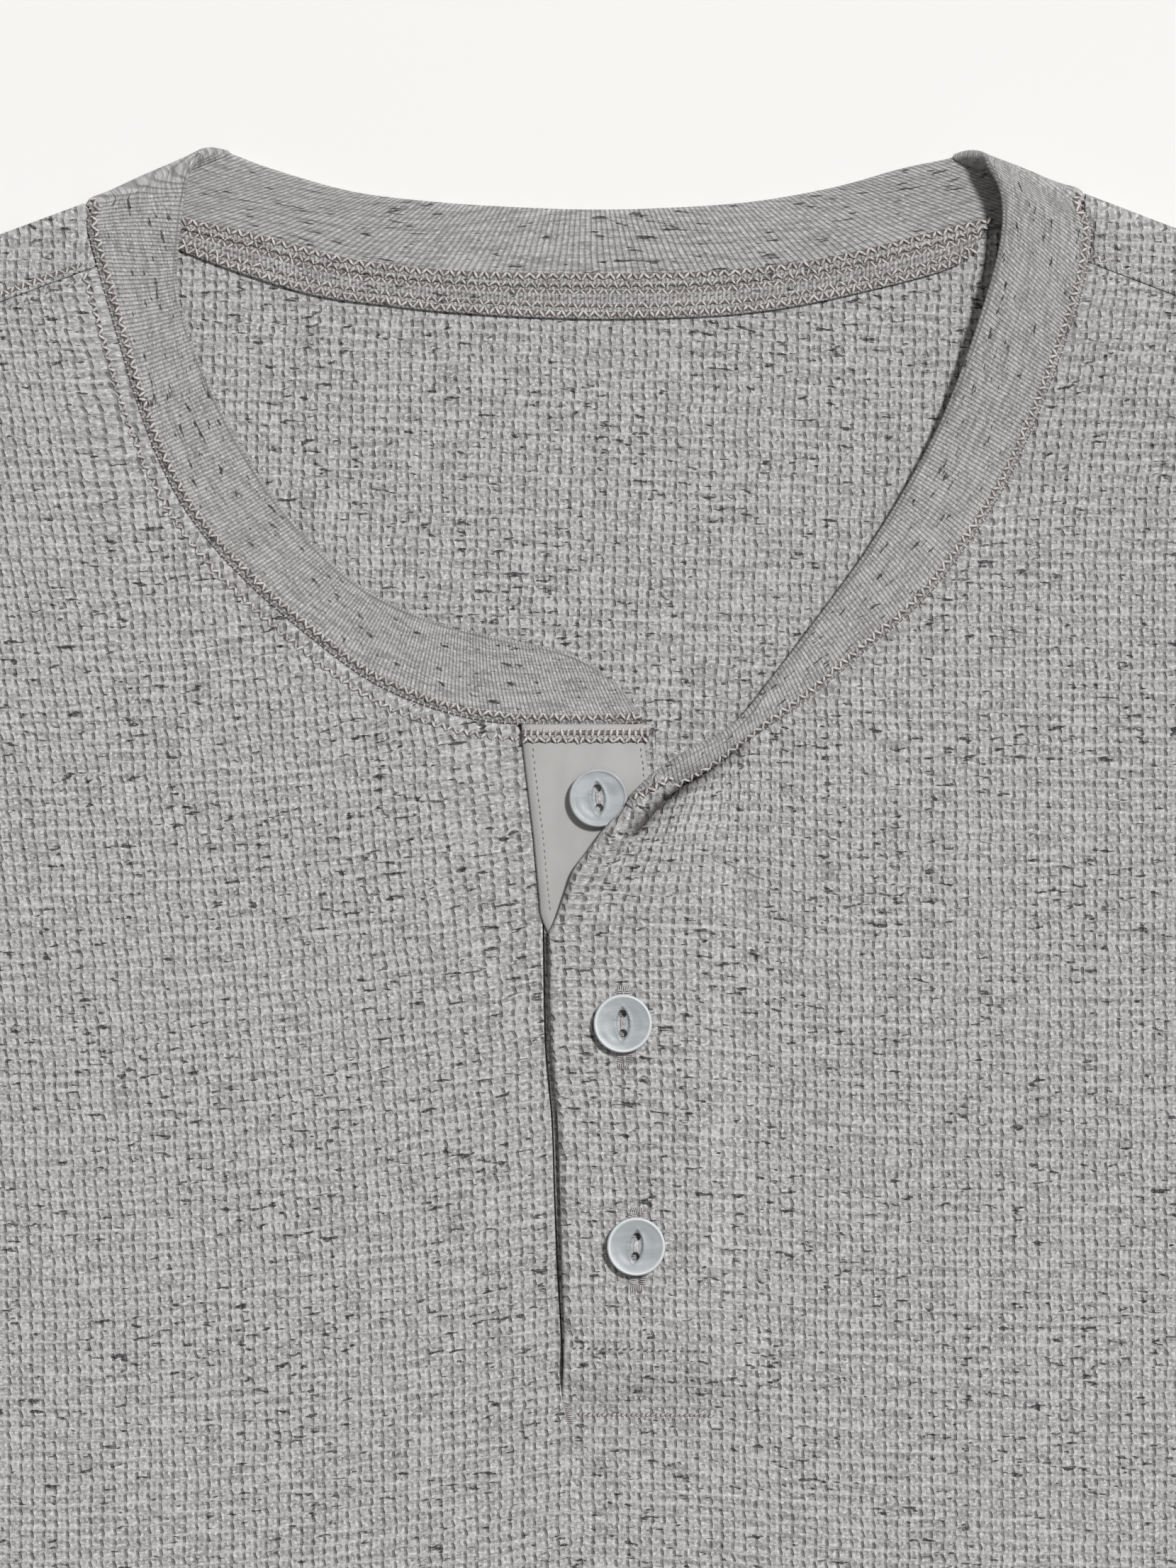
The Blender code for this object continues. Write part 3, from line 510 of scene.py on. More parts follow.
def patch_mesh(patch: Patch) -> bpy.types.Mesh:
    """A grid with its points on the patch's surface and its knit coordinates as a UV map."""
    bm = bmesh.new()
    bm.loops.layers.uv.new(KNIT_UV)
    bmesh.ops.create_grid(bm, x_segments=patch.across, y_segments=patch.along, size=1.0)
    mesh = as_mesh(bm, "patch")
    flat = plan_of(mesh)
    steps = np.rint((flat - flat.min(axis=0)) / np.ptp(flat, axis=0) * (patch.across, patch.along)).astype(int)
    points, knit = patch.surface(*steps.T)
    mesh.vertices.foreach_set("co", in_frame(points).ravel())
    corner = np.empty(len(mesh.loops), dtype=np.int32)
    mesh.loops.foreach_get("vertex_index", corner)
    mesh.uv_layers[KNIT_UV].uv.foreach_set("vector", knit[corner].astype(np.float32).ravel())
    return mesh


def shown(name: str, bm: bmesh.types.BMesh, finish: bpy.types.Material) -> bpy.types.Object:
    """Make an object of a finished bmesh, smooth, in its finish, and moving with the body.

    Args:
        name: the piece's name.
        bm: its mesh in frame metres, which is freed.
        finish: its material.

    Returns:
        The object.
    """
    mesh = as_mesh(bm, name)
    mesh.materials.append(finish)
    mesh.shade_smooth()
    piece = placed(name, mesh)
    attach(piece, BODY)
    LOG.info("%s: %d faces", name, len(mesh.polygons))
    return piece


def cloth_piece(name: str, patches: Sequence[Patch], wall: float, finish: bpy.types.Material) -> bpy.types.Object:
    """Sew patches into one piece of cloth and give it its thickness.

    Args:
        name: the piece's name.
        patches: its grids, whose shared edges are merged.
        wall: the cloth's thickness in millimetres, or 0 for patches that are both of its faces.
        finish: its material.

    Returns:
        The object.
    """
    bm = bmesh.new()
    for patch in patches:
        mesh = patch_mesh(patch)
        bm.from_mesh(mesh)
        bpy.data.meshes.remove(mesh)
    bmesh.ops.remove_doubles(bm, verts=bm.verts, dist=0.004 * MM)
    bmesh.ops.dissolve_degenerate(bm, edges=bm.edges, dist=0.002 * MM)
    bmesh.ops.recalc_face_normals(bm, faces=bm.faces)
    piece = shown(name, bm, finish)
    if wall:
        shell = piece.modifiers.new("wall", "SOLIDIFY")
        shell.thickness = wall * MM
        shell.offset = 0.0
        shell.use_even_offset = False
    return piece


def spread(near: float, far: float, growth: float, first: float) -> Array:
    """Distances from an edge, close together up to near and growing apart from there to far."""
    out = list(np.arange(0.0, near, first))
    step = first
    while out[-1] + step < far - step * 0.6:
        out.append(out[-1] + step)
        step = min(step * growth, 9.0)
    return np.array(out + [far])


def joined(parts: Sequence[tuple[Line, int]]) -> Line:
    """One line from pieces, each cut into its own number of equal steps, with shared ends kept once."""
    out = []
    for line, steps in parts:
        points = at_shares(line, np.linspace(0.0, 1.0, steps + 1))
        out.append(points if not out else points[1:])
    return np.vstack(out)


def smoothed(rows: Array, reach: Array | float, lengths: Array) -> Array:
    """Rows of numbers averaged over the neighbours within a reach of length."""
    weight = np.exp(-((lengths[:, None] - lengths[None, :]) / reach) ** 2)
    return (weight @ rows) / weight.sum(axis=1)[:, None]


# ---------------------------------------------------------------- how the knit runs in the front

def eased_run(low: float, high: float, value: Array) -> Array:
    """The running total of ease(low, high, value), taken from low up."""
    k = np.clip((value - low) / (high - low), 0.0, 1.0)
    return (high - low) * (k ** 3 - 0.5 * k ** 4) + np.maximum(value - high, 0.0)


# The crease between the rolled corner and the cloth below it, where it closes on itself and shade is painted along it:
# x, y
CREASE = curve_through(((7.6, -135.4), (8.6, -134.2), (10.9, -131.6), (13.9, -128.7), (18.8, -125.0), (24.4, -121.4),
                        (31.4, -116.2)))
ROLL_CURVE = curve_through(ROLL)
ROLL_RUN = lengths_along(ROLL_CURVE[:, :2])


def from_roll(plan: Array) -> tuple[Array, Array, Line]:
    """How far plan places lie from the roll's outer side, at what share of its length, and next to which place."""
    gap, run = nearest_on(ROLL_CURVE[:, :2], plan)
    return gap, run / ROLL_RUN[-1], interpolated(ROLL_CURVE, run, ROLL_RUN)


def knit_lean(x: Array, y: Array, on_overlap: bool) -> tuple[Array, Array]:
    """How the cloth's columns and rows are pulled out of line on the front.

    Args:
        x, y: plan places.
        on_overlap: True for the half that carries the overlap.

    Returns:
        The number of the column and of the row there, as millimetres along the cloth.
    """
    # Both sides' columns lean towards the neck's ends, and the button side's most beside the band
    left, right = np.clip(-x / 30.0, 0.0, 1.0), np.clip(x / 30.0, 0.0, 1.0)
    steep = 0.07 * ease(-84.0, -104.0, x)
    s = x + left * (0.087 * eased_run(-270.0, -150.0, y) + steep * eased_run(-150.0, -80.0, y))
    s = s - right * 0.14 * eased_run(-95.0, -45.0, y)
    # Rows climb towards the slit on the button side, and sink past the overlap's edge on the other
    foot, edge = SLIT_END[0], 32.0
    along, over = np.clip(x, -118.0, foot) + 83.0, np.maximum(x, foot)
    rise = 0.052 * along + 0.000775 * along ** 2 - 0.015 * (over - foot)
    rise = rise - 1.2 * (np.tanh((over - edge) / 16.0) + np.tanh((edge - foot) / 16.0))
    t = y - ease(-420.0, -262.0, y) * rise
    if on_overlap:
        # The columns lean along the roll and crowd together beside it, and follow the slit's edge below it
        gap, share, _ = from_roll(np.column_stack([x, y]))
        pulled = ease(0.0, 1.0, 1.0 - share) * np.exp(-(gap / 11.0) ** 1.6)
        s = s - 8.5 * pulled
        t = t + 4.0 * pulled
        slit = slit_x(np.clip(y, SLIT_END[1], -150.0), 2) - SLIT_END[0]
        s = s - slit * np.exp(-(np.maximum(x - slit_x(y, 2), 0.0) / 18.0) ** 2) * ease(-262.0, -240.0, y)
    return s, t


# ---------------------------------------------------------------- the body

RIDGE_REACH = {-1: 2.9, 1: 2.3}     # from the ditch to the second row of stitches


def seam_ridge(distance: Array, reach: float) -> Array:
    """How the sewing at the neck shapes the front: a ditch at the seam, a padded ridge, and the second row."""
    return (0.5 * np.exp(-((distance - reach / 2) / (reach * 0.36)) ** 2) - 0.45 * np.exp(-(distance / 0.45) ** 2)
            - 0.3 * np.exp(-((distance - reach) / 0.45) ** 2))


@dataclass
class FrontPanel:
    """The front, cut with the neck's curve, slit down to the placket's end, with the overlap's rolled corner.

    Attributes:
        finish: its cloth.
        low_rows: rows below the slit.
        reach: how far its columns run out from the inner edge.
        flap, bend: columns turned in under the roll, and round its edge.
    """

    finish: bpy.types.Material
    low_rows: int = 56
    reach: float = 222.0
    flap: int = 3
    bend: int = 7

    @staticmethod
    def neckline(side: int) -> Line:
        """The front's neck edge in plan, from the placket up to the shoulder seam."""
        if side < 0:
            line = beside(SEAM[2 * SPAN:LEFT_TURN, :2], GAP)
            line = line[line[:, 0] < SLIT[0][1] - 1.0]
        else:
            line = beside(SEAM[RIGHT_FRONT:, :2], -GAP)[::-1]
            step = ROLL_FLANK * ease(-113.0, -119.0, line[:, 1])
            line = line + step[:, None] * np.array((0.6, -0.8))
        return to_shoulder_seam(line, side)

    def edges(self, side: int) -> tuple[Line, Line, Array, Array]:
        """Inner and outer edges of a half, row by row, with the roll's radius and the share that is rolled."""
        foot = np.array([(SLIT_END[0], -BODY_LENGTH), SLIT_END])
        slit = curve_through(slit_line(1 if side < 0 else 2))
        neck = self.neckline(side)
        if side < 0:
            parts = [(foot, self.low_rows), (slit, 62), (np.vstack([slit[-1:], neck]), 128)]
            shares = (0.0, 0.615, 0.74, 1.0)
        else:
            roll = curve_through(ROLL[::-1])[:, :2]
            corner = np.vstack([roll[-1:], neck[:1]])
            parts = [(foot, self.low_rows), (slit, 46), (roll, 56), (corner, 8), (neck, 120)]
            shares = (0.0, 0.615, 0.70, 0.745, 0.752, 1.0)
        inner = joined(parts)
        counts = [steps for _, steps in parts]
        share = joined([(np.array([[a], [b]]), steps) for a, b, steps in zip(shares, shares[1:], counts)])[:, 0]
        outer = at_shares(to_shoulder_seam(body_edge(side), side), share)
        radius = rolled = np.zeros(len(inner))
        if side > 0:
            first, second, third, fourth = np.cumsum(counts)[:4]
            row = np.arange(len(inner))
            radius = 0.6 * ease(first, first + 8, row)
            rolled = ease(second, second + 34, row) * (row <= third)
            radius = radius + 1.1 * rolled * ease(second, third - 6, row)
            radius *= 1.0 - ease(third, fourth, row)
            rolled = np.where(row > third, 1.0 - ease(third, fourth, row), rolled)
        return inner, outer, radius, rolled

    @staticmethod
    def height(x: Array, y: Array, on_overlap: bool) -> Array:
        """Height of the middle of the front's wall."""
        z = front_ground(x, y)
        places = np.column_stack([x, y])
        z = z + seam_ridge(nearest_on(SEAM[::4, :2], places)[0], RIDGE_REACH[1 if on_overlap else -1])
        if not on_overlap:
            return z
        edge = slit_x(y, 1) + PLACKET_WIDTH + OVERLAP_FALL_START
        level = (1.0 - ease(0.0, OVERLAP_FALL, x - edge)) * ease(SLIT_END[1], OVERLAP_LEVEL_END, y)
        z = z + (OVERLAP_HEIGHT - FRONT_HEIGHT) * level
        gap, share, near = from_roll(places)
        creased = 1.0 - ease(0.30, 0.62, share)
        foot = ROLL_WIDTH + 3.0 * (1.0 - creased)
        fall = 1.0 - ease(ROLL_CREST - 0.2, foot - 1.3 * creased, gap)
        z = z + (near[:, 2] - OVERLAP_HEIGHT) * fall
        return z - 1.5 * creased * np.exp(-((gap - 5.4) / 0.85) ** 2)

    @staticmethod
    def paint_crease_shade(mesh: bpy.types.Mesh) -> None:
        """Mark how far each point lies in the crease, where shade is painted into the cloth's colour."""
        # Painted shade: the fold mark darkens the yarn colour along the crease
        gap, run = nearest_on(CREASE, plan_of(mesh) / MM - (0.0, NECK_LEVEL))
        whole = lengths_along(CREASE)[-1]
        fade = ease(0.0, 4.0, run) * (1.0 - 0.45 * ease(13.0, 24.0, run)) * (1.0 - ease(whole - 3.0, whole, run))
        away = np.exp(-((gap / 0.95) ** 2)) + 0.22 * np.exp(-((gap / 2.4) ** 2))
        mesh.attributes.new("fold", "FLOAT", "POINT").data.foreach_set("value", np.minimum(away * fade, 1.0))

    @staticmethod
    def overhang(plan: Array) -> Array:
        """How far the roll's flank leans out over the crease beside it."""
        gap, share, near = from_roll(plan)
        amount = 0.6 * np.exp(-((gap - 4.2) / 0.8) ** 2) * (1.0 - ease(0.24, 0.52, share))
        return unit(plan - near[:, :2]) * amount[:, None]

    def half(self, side: int) -> Patch:
        """The patch for one half, from its inner edge to the side seam."""
        inner, outer, radius, rolled = self.edges(side)
        lengths = lengths_along(inner)
        along = unit(np.gradient(inner, axis=0))
        normal = smoothed(np.column_stack([along[:, 1], -along[:, 0]]) * side, 13.0, lengths)
        at_top = ease(lengths[-1] - 16.0, lengths[-1] - 1.0, lengths)[:, None]
        normal = unit(unit(normal) * (1.0 - at_top) + unit(outer[-1:] - inner[-1:]) * at_top)
        origin = smoothed(inner, 24.0, lengths) * (1.0 - at_top) + inner * at_top
        extra = self.flap + self.bend if side > 0 else 0
        crest = inner + normal * (radius + np.minimum(radius, 0.6))[:, None]
        distance = spread(8.5, self.reach, 1.11, 0.62)

        def surface(column: Array, row: Array) -> tuple[Array, Array]:
            """Places and knit coordinates of the half's points."""
            w = distance[np.clip(column - extra, 0, len(distance) - 1)]
            blend = ease(5.0, 40.0, w)[:, None]
            start = np.where((row >= self.low_rows)[:, None], origin[row] + normal[row] * 3.0 * (1.0 - at_top[row]),
                             crest[row])
            ruled = start + (outer[row] - start) * (w / self.reach)[:, None]
            plan = (crest[row] + normal[row] * w[:, None]) * (1.0 - blend) + ruled * blend
            z = self.height(*plan.T, side > 0)
            s, t = knit_lean(*plan.T, side > 0)
            if side > 0:
                turned = np.clip(extra - column, 0, extra)
                angle = math.pi / 2 * (1.0 - np.minimum(turned / self.bend, 1.0) * (1.0 + rolled[row]))
                tucked = np.maximum(turned - self.bend, 0) * 1.3 * rolled[row]
                plan = plan + self.overhang(plan) - normal[row] * (radius[row] * np.cos(angle) - tucked)[:, None]
                z = z - radius[row] * (1.0 - np.sin(angle))
                s = s - radius[row] * (math.pi / 2 - angle) - tucked
            return np.column_stack([plan, z]), np.column_stack([s, t])

        return Patch(extra + len(distance) - 1, len(inner) - 1, surface)

    def build(self) -> bpy.types.Object:
        """Make the front, mark where shade is painted along its crease, and hide the imported front panel."""
        piece = cloth_piece("front_body", [self.half(-1), self.half(1)], WAFFLE_WALL, self.finish)
        self.paint_crease_shade(piece.data)
        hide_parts("front_panel")
        return piece


@dataclass
class BackPanel:
    """The back, flat on the surface, with both shoulder edges carried over the fold onto the front.

    Attributes:
        finish: its cloth.
        columns, rows: steps across and up its flat.
        shoulder_steps: steps along each shoulder.
        fold_steps: steps round the fold there.
        below: distances below the fold of the rows on the front.
    """

    finish: bpy.types.Material
    columns: int = 170
    rows: int = 150
    shoulder_steps: int = 56
    fold_steps: int = 10
    below: tuple[float, ...] = (3.0, 5.5, 8.5, 10.6, 11.5, SHOULDER_SEAM)

    @staticmethod
    def knit(plan: Array) -> Array:
        """The back's knit coordinates, which run nearly square with the body."""
        return np.column_stack([plan[:, 0] - 0.033 * plan[:, 1], plan[:, 1] + 0.035 * plan[:, 0]])

    def flat(self) -> Patch:
        """The flat of the back, from the hem up to the shoulder folds and the neck."""
        steps = self.shoulder_steps
        folds = [fold.place(np.linspace(0.6, fold.length - 0.6, steps), np.zeros(steps)) for fold in SHOULDERS.values()]
        neck = beside(SEAM[LEFT_BACK:RIGHT_TURN + 1, :2], -GAP)
        middle = at_shares(neck, np.linspace(0.0, 1.0, self.columns + 3 - 2 * steps))[1:-1]
        top = np.vstack([folds[0][::-1], middle, folds[1]])
        rows = 1.0 - (1.0 - np.linspace(0.0, 1.0, self.rows + 1)) ** 1.25
        edge = [at_shares(body_edge(side), rows) for side in (-1, 1)]
        share = (top[:, 0] - top[0, 0]) / (top[-1, 0] - top[0, 0])
        hem = np.column_stack([-HEM_HALF_WIDTH + 2 * HEM_HALF_WIDTH * share, np.full(len(share), -BODY_LENGTH)])

        def surface(column: Array, row: Array) -> tuple[Array, Array]:
            """Places and knit coordinates of the back's points, as a patch between its four edges."""
            u, v = share[column][:, None], rows[row][:, None]
            plan = ((1 - v) * hem[column] + v * top[column] + (1 - u) * edge[0][row] + u * edge[1][row]
                    - (1 - u) * (1 - v) * hem[0] - u * (1 - v) * hem[-1] - (1 - u) * v * top[0] - u * v * top[-1])
            return np.column_stack([plan, np.full(len(plan), BACK_HEIGHT)]), self.knit(plan)

        return Patch(self.columns, self.rows, surface)

    def strip(self, side: int) -> Patch:
        """The strip that goes round a shoulder's fold, from the flat to the seam on the front."""
        shoulder = SHOULDERS[side]
        start = LEFT_TURN - 4 * SPAN if side < 0 else RIGHT_FRONT - 2 * SPAN
        neck_t, neck_d = shoulder.measure(SEAM[start:start + 6 * SPAN, :2])
        order = np.argsort(neck_d)
        arm_t, arm_d = shoulder.measure(armhole(side)[:12])
        angles = np.radians(np.linspace(-90.0, 90.0, self.fold_steps + 1))
        below = np.array(self.below)

        def surface(column: Array, row: Array) -> tuple[Array, Array]:
            """Places and knit coordinates of the strip's points."""
            k = column / self.shoulder_steps
            radius = shoulder.radius(k * shoulder.length)
            angle = angles[np.minimum(row, self.fold_steps)]
            past = row - self.fold_steps
            d = np.where(past > 0, below[np.maximum(past - 1, 0)], radius * (1.0 - np.cos(angle)))
            start = np.where(angle > 0.0, np.interp(d, neck_d[order], neck_t[order]), 0.0) + GAP
            end = np.interp(d, arm_d, arm_t) - GAP
            place = shoulder.place(start + k * (end - start), d)
            z = BACK_HEIGHT + radius * (1.0 + np.sin(angle))
            knit = self.knit(place)
            knit[:, 1] += np.where(angle > 0.0, 0.0, radius)
            return np.column_stack([place, z]), knit

        return Patch(self.shoulder_steps, self.fold_steps + len(self.below), surface)

    def build(self, turned_edge: bpy.types.Object) -> bpy.types.Object:
        """Make the back and hide the imported back panel.

        Args:
            turned_edge: the neck seam's allowance; not used.

        Returns:
            The back.
        """
        patches = [self.flat(), self.strip(-1), self.strip(1)]
        piece = cloth_piece("back_body", patches, WAFFLE_WALL, self.finish)
        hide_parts("back_panel")
        return piece


@dataclass
class Sleeve:
    """A sleeve laid flat: a soft tube from the armhole to the rib cuff.

    Attributes:
        side: the wearer's left (1) or right (-1).
        cloth, rib: the finishes of the tube and the cuff.
        flat_steps, turn_steps: steps across each layer and round each fold.
        cuff_length: length of the cuff.
        drawn_in: how far each fold comes in at the cuff.
    """

    side: int
    cloth: bpy.types.Material
    rib: bpy.types.Material
    flat_steps: int = 34
    turn_steps: int = 6
    cuff_length: float = 62.0
    drawn_in: float = 2.4

    def __post_init__(self) -> None:
        """Set out the sleeve's corners and its length."""
        self.tip, self.crown, self.outer, self.inner, self.under = (
            mirrored(place, self.side) for place in (SHOULDER_TIP, SLEEVE_CROWN, CUFF_OUTER, CUFF_INNER, UNDERARM))
        self.hole = armhole(self.side, 240)
        self.length = lengths_along(self.top(np.linspace(0.0, 1.0, 101)))[-1]
        self.cuff_start = 1.0 - self.cuff_length / self.length

    def top(self, v: Array) -> Line:
        """The tube's outer fold at shares from the shoulder to the cuff."""
        v = v[:, None]
        a = self.tip + (self.crown - self.tip) * v
        b = self.crown + (self.outer - self.crown) * v
        return a + (b - a) * v

    def tube(self, start: float, end: float, rows: int, drawn_in: float) -> Patch:
        """A stretch of the tube.

        Args:
            start, end: where it runs, as shares of the sleeve.
            rows: its steps along.
            drawn_in: how far each fold comes in where the cuff draws it together.

        Returns:
            The patch, whose first and last columns meet at the outer fold.
        """
        flat, turn = self.flat_steps, self.turn_steps
        ring = 2 * (flat + turn)

        def surface(column: Array, row: Array) -> tuple[Array, Array]:
            """Places and knit coordinates of the tube's points."""
            v = start + (end - start) * row / rows
            top, bottom = self.top(v), self.under + (self.inner - self.under) * v[:, None]
            width = np.linalg.norm(bottom - top, axis=1)
            ray = (bottom - top) / width[:, None]
            pull = drawn_in * ease(0.0, 0.10, (v - start) / (end - start))
            low_fold = SIDE_RADIUS + (FOLD_RADIUS - SIDE_RADIUS) * ease(0.0, 0.2, v)
            column = column % ring
            on_top = column <= flat
            at_under = (column > flat) & (column < flat + turn)
            on_back = (column >= flat + turn) & (column <= 2 * flat + turn)
            outer_turn = ~(on_top | at_under | on_back)
            share = np.clip(np.where(on_top, column / flat, 1.0 - (column - flat - turn) / flat), 0.0, 1.0)
            share = 0.35 * (1.0 - np.cos(math.pi * share)) / 2 + 0.65 * share
            distance = FOLD_RADIUS + pull + (width - FOLD_RADIUS - low_fold - 2 * pull) * share
            a = math.pi / 2 - math.pi * np.where(at_under, column - flat, column - 2 * flat - turn) / turn
            distance = np.where(at_under, width - pull - low_fold * (1.0 - np.cos(a)), distance)
            distance = np.where(outer_turn, pull + FOLD_RADIUS * (1.0 - np.cos(a)), distance)
            k = np.clip(distance / width, 0.0, 1.0)
            bow = interpolated(self.hole, k * (len(self.hole) - 1)) - self.tip - (self.under - self.tip) * k[:, None]
            spot = top + ray * distance[:, None] + bow * (1.0 - ease(0.0, 0.45, v))[:, None]
            rise = 2 * (FOLD_RADIUS - SIDE_RADIUS) * (1.0 - ease(LOFT_START, LOFT_END, distance * 0.97))
            rise = rise + 2 * (low_fold - SIDE_RADIUS) * (1.0 - ease(8.0, 50.0, width - distance))
            soft = ease(4.0, 22.0, distance) * ease(4.0, 22.0, width - distance) * ease(0.0, 0.08, v)
            soft = soft * (1.0 - 0.8 * ease(self.cuff_start - 0.05, self.cuff_start, v))
            upper = FRONT_HEIGHT + rise + soft * ridges(SLEEVE_RIDGES[self.side], spot[:, 0], spot[:, 1])
            z = np.where(on_top, upper, BACK_HEIGHT)
            z = np.where(at_under, BACK_HEIGHT + low_fold * (1.0 + np.sin(a)), z)
            z = np.where(outer_turn, BACK_HEIGHT + FOLD_RADIUS * (1.0 - np.sin(a)), z)
            across = np.where(on_top | at_under, distance, 2 * width - distance)
            return np.column_stack([spot, z]), np.column_stack([across, v * self.length])

        return Patch(ring, rows, surface)

    def build(self) -> None:
        """Make the sleeve and its cuff, and hide the imported sleeve."""
        name = "left" if self.side > 0 else "right"
        cloth = cloth_piece(f"sleeve_{name}_cloth", [self.tube(0.0, self.cuff_start, 120, 0.0)], WAFFLE_WALL,
                            self.cloth)
        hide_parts(f"sleeve_{name}")
        cuff = cloth_piece(f"cuff_{name}", [self.tube(self.cuff_start, 1.0, 24, self.drawn_in)], WAFFLE_WALL,
                           self.rib)


@dataclass
class Neckband:
    """The folded strip of fine rib round the neck, from the underlap to the overlap's corner.

    Attributes:
        rib: its finish.
        flat_steps, fold_steps: steps across each layer and round the fold.
        per_span: rows between two stations.
    """

    rib: bpy.types.Material
    flat_steps: int = 15
    fold_steps: int = 6
    per_span: int = 18

    def __post_init__(self) -> None:
        """Carry both edges on over the rolled corner."""
        self.seam_line = self.continued(SEAM, ((12.8, -127.9, 5.3), (8.9, -129.7, 6.9)))
        self.edge_line = self.continued(BAND_EDGE, ((9.9, -125.3, 8.3), (7.6, -128.3, 8.4)))

    @staticmethod
    def continued(line: Line, tail: Sequence[tuple[float, float, float]]) -> Line:
        """A line with two more stations, through which it tapers out over the rolled corner."""
        curve = curve_through([tuple(line[-2 * SPAN]), tuple(line[-SPAN]), tuple(line[-1]), *tail])
        start = int(np.argmin(np.linalg.norm(curve - line[-1], axis=1)))
        return np.vstack([line, at_shares(curve[start:], np.linspace(0.0, 1.0, 2 * SPAN + 1))[1:]])

    @staticmethod
    def outer_height(c: Array) -> Array:
        """How high the outer face stands over the strip's middle, at distances from the seam."""
        return RIB_WALL / 2 * (1.0 + 0.26 * np.exp(-((c - 2.3) / 1.2) ** 2) - 0.62 * np.exp(-((c / 0.6) ** 2)))

    def frame(self, stations: Array) -> dict[str, Array]:
        """The strip's middle at stations along it.

        Args:
            stations: places along it, counted in points of its two edges.

        Returns:
            Its seam, its width, the ways across it and out of it, its length so far and its bulge.
        """
        lowest = (-np.inf, -np.inf, RIB_WALL / 2)
        seam, edge = (np.maximum(interpolated(line, stations), lowest) for line in (self.seam_line, self.edge_line))
        return {"seam": seam, "width": np.linalg.norm(edge - seam, axis=1), "across": unit(edge - seam),
                "out": unit(np.cross(edge - seam, np.gradient(seam + edge, axis=0))),
                "run": lengths_along((seam + edge) / 2),
                "crown": BAND_CROWN * (stations > RIGHT_FRONT) * (edge[:, 2] - seam[:, 2])}

    def outer_face(self, first: int, last: int, distance: float) -> tuple[Line, Line]:
        """A line on the strip's outer face at a distance from its seam, and the way out of the cloth there."""
        f = self.frame(np.arange(first, last, 3.0))
        near = np.minimum(distance, f["width"] * 0.5)
        place = f["seam"] + f["across"] * near[:, None] + f["out"] * self.outer_height(near)[:, None]
        place[:, 2] += f["crown"] * np.sin(math.pi * np.clip(near / f["width"], 0.0, 1.0))
        return place, f["out"]

    def patch(self) -> Patch:
        """Both faces of the strip with its rounded fold, and the knit coordinates along and across it."""
        last = len(self.seam_line) - 1
        stations = np.linspace(0, last, last // SPAN * self.per_span + 1)
        f = self.frame(stations)
        # Behind the neck the strip is less stretched, so its ribs lie further apart; in front they lean
        index = stations / SPAN
        packed = np.gradient(f["run"]) * np.interp(index, (14, 17, 25, 28), (1.0, 0.67, 0.67, 1.0))
        rib_run = np.cumsum(packed)
        lean = np.interp(index, (0, 3, 5, 7, 11, 14, 26, 30, 33), (-0.8, -0.3, 0.1, 0.35, 0.35, 0.0, 0.0, 0.3, 0.45))
        seam, width, across, out, run, crown = (f[k] for k in ("seam", "width", "across", "out", "run", "crown"))
        flat, half = self.flat_steps, RIB_WALL / 2
        total = 2 * flat + self.fold_steps

        def surface(column: Array, row: Array) -> tuple[Array, Array]:
            """Places and knit coordinates of the band's points."""
            outer = column <= flat
            turning = (column > flat) & (column < flat + self.fold_steps)
            share = np.clip(np.where(outer, column / flat, (total - column) / flat), 0.0, 1.0)
            angle = math.pi / 2 - math.pi * (column - flat) / self.fold_steps
            c = share ** 1.25 * (width[row] - half)
            soft = 0.10 * np.sin(run[row] * 0.31) + 0.08 * np.sin(run[row] * 0.83 + c * 0.4)
            h = np.where(outer, self.outer_height(c) + soft * ease(2.4, 5.0, c), -half)
            c = np.where(turning, width[row] - half + half * np.cos(angle), c)
            h = np.where(turning, half * np.sin(angle) * (1.0 + 0.1 * np.sin(angle)), h)
            place = seam[row] + across[row] * c[:, None] + out[row] * h[:, None]
            place[:, 2] += crown[row] * np.sin(math.pi * np.clip(c / width[row], 0.0, 1.0))
            place[:, 2] = np.maximum(place[:, 2], 0.02)
            return place, np.column_stack([rib_run[row] + lean[row] * c, np.where(outer, c, -c)])

        return Patch(total, len(stations) - 1, surface)

    def build(self) -> None:
        """Make the neckband and hide the imported one."""
        piece = cloth_piece("neck_rib", [self.patch()], 0.0, self.rib)
        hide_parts("neckband")


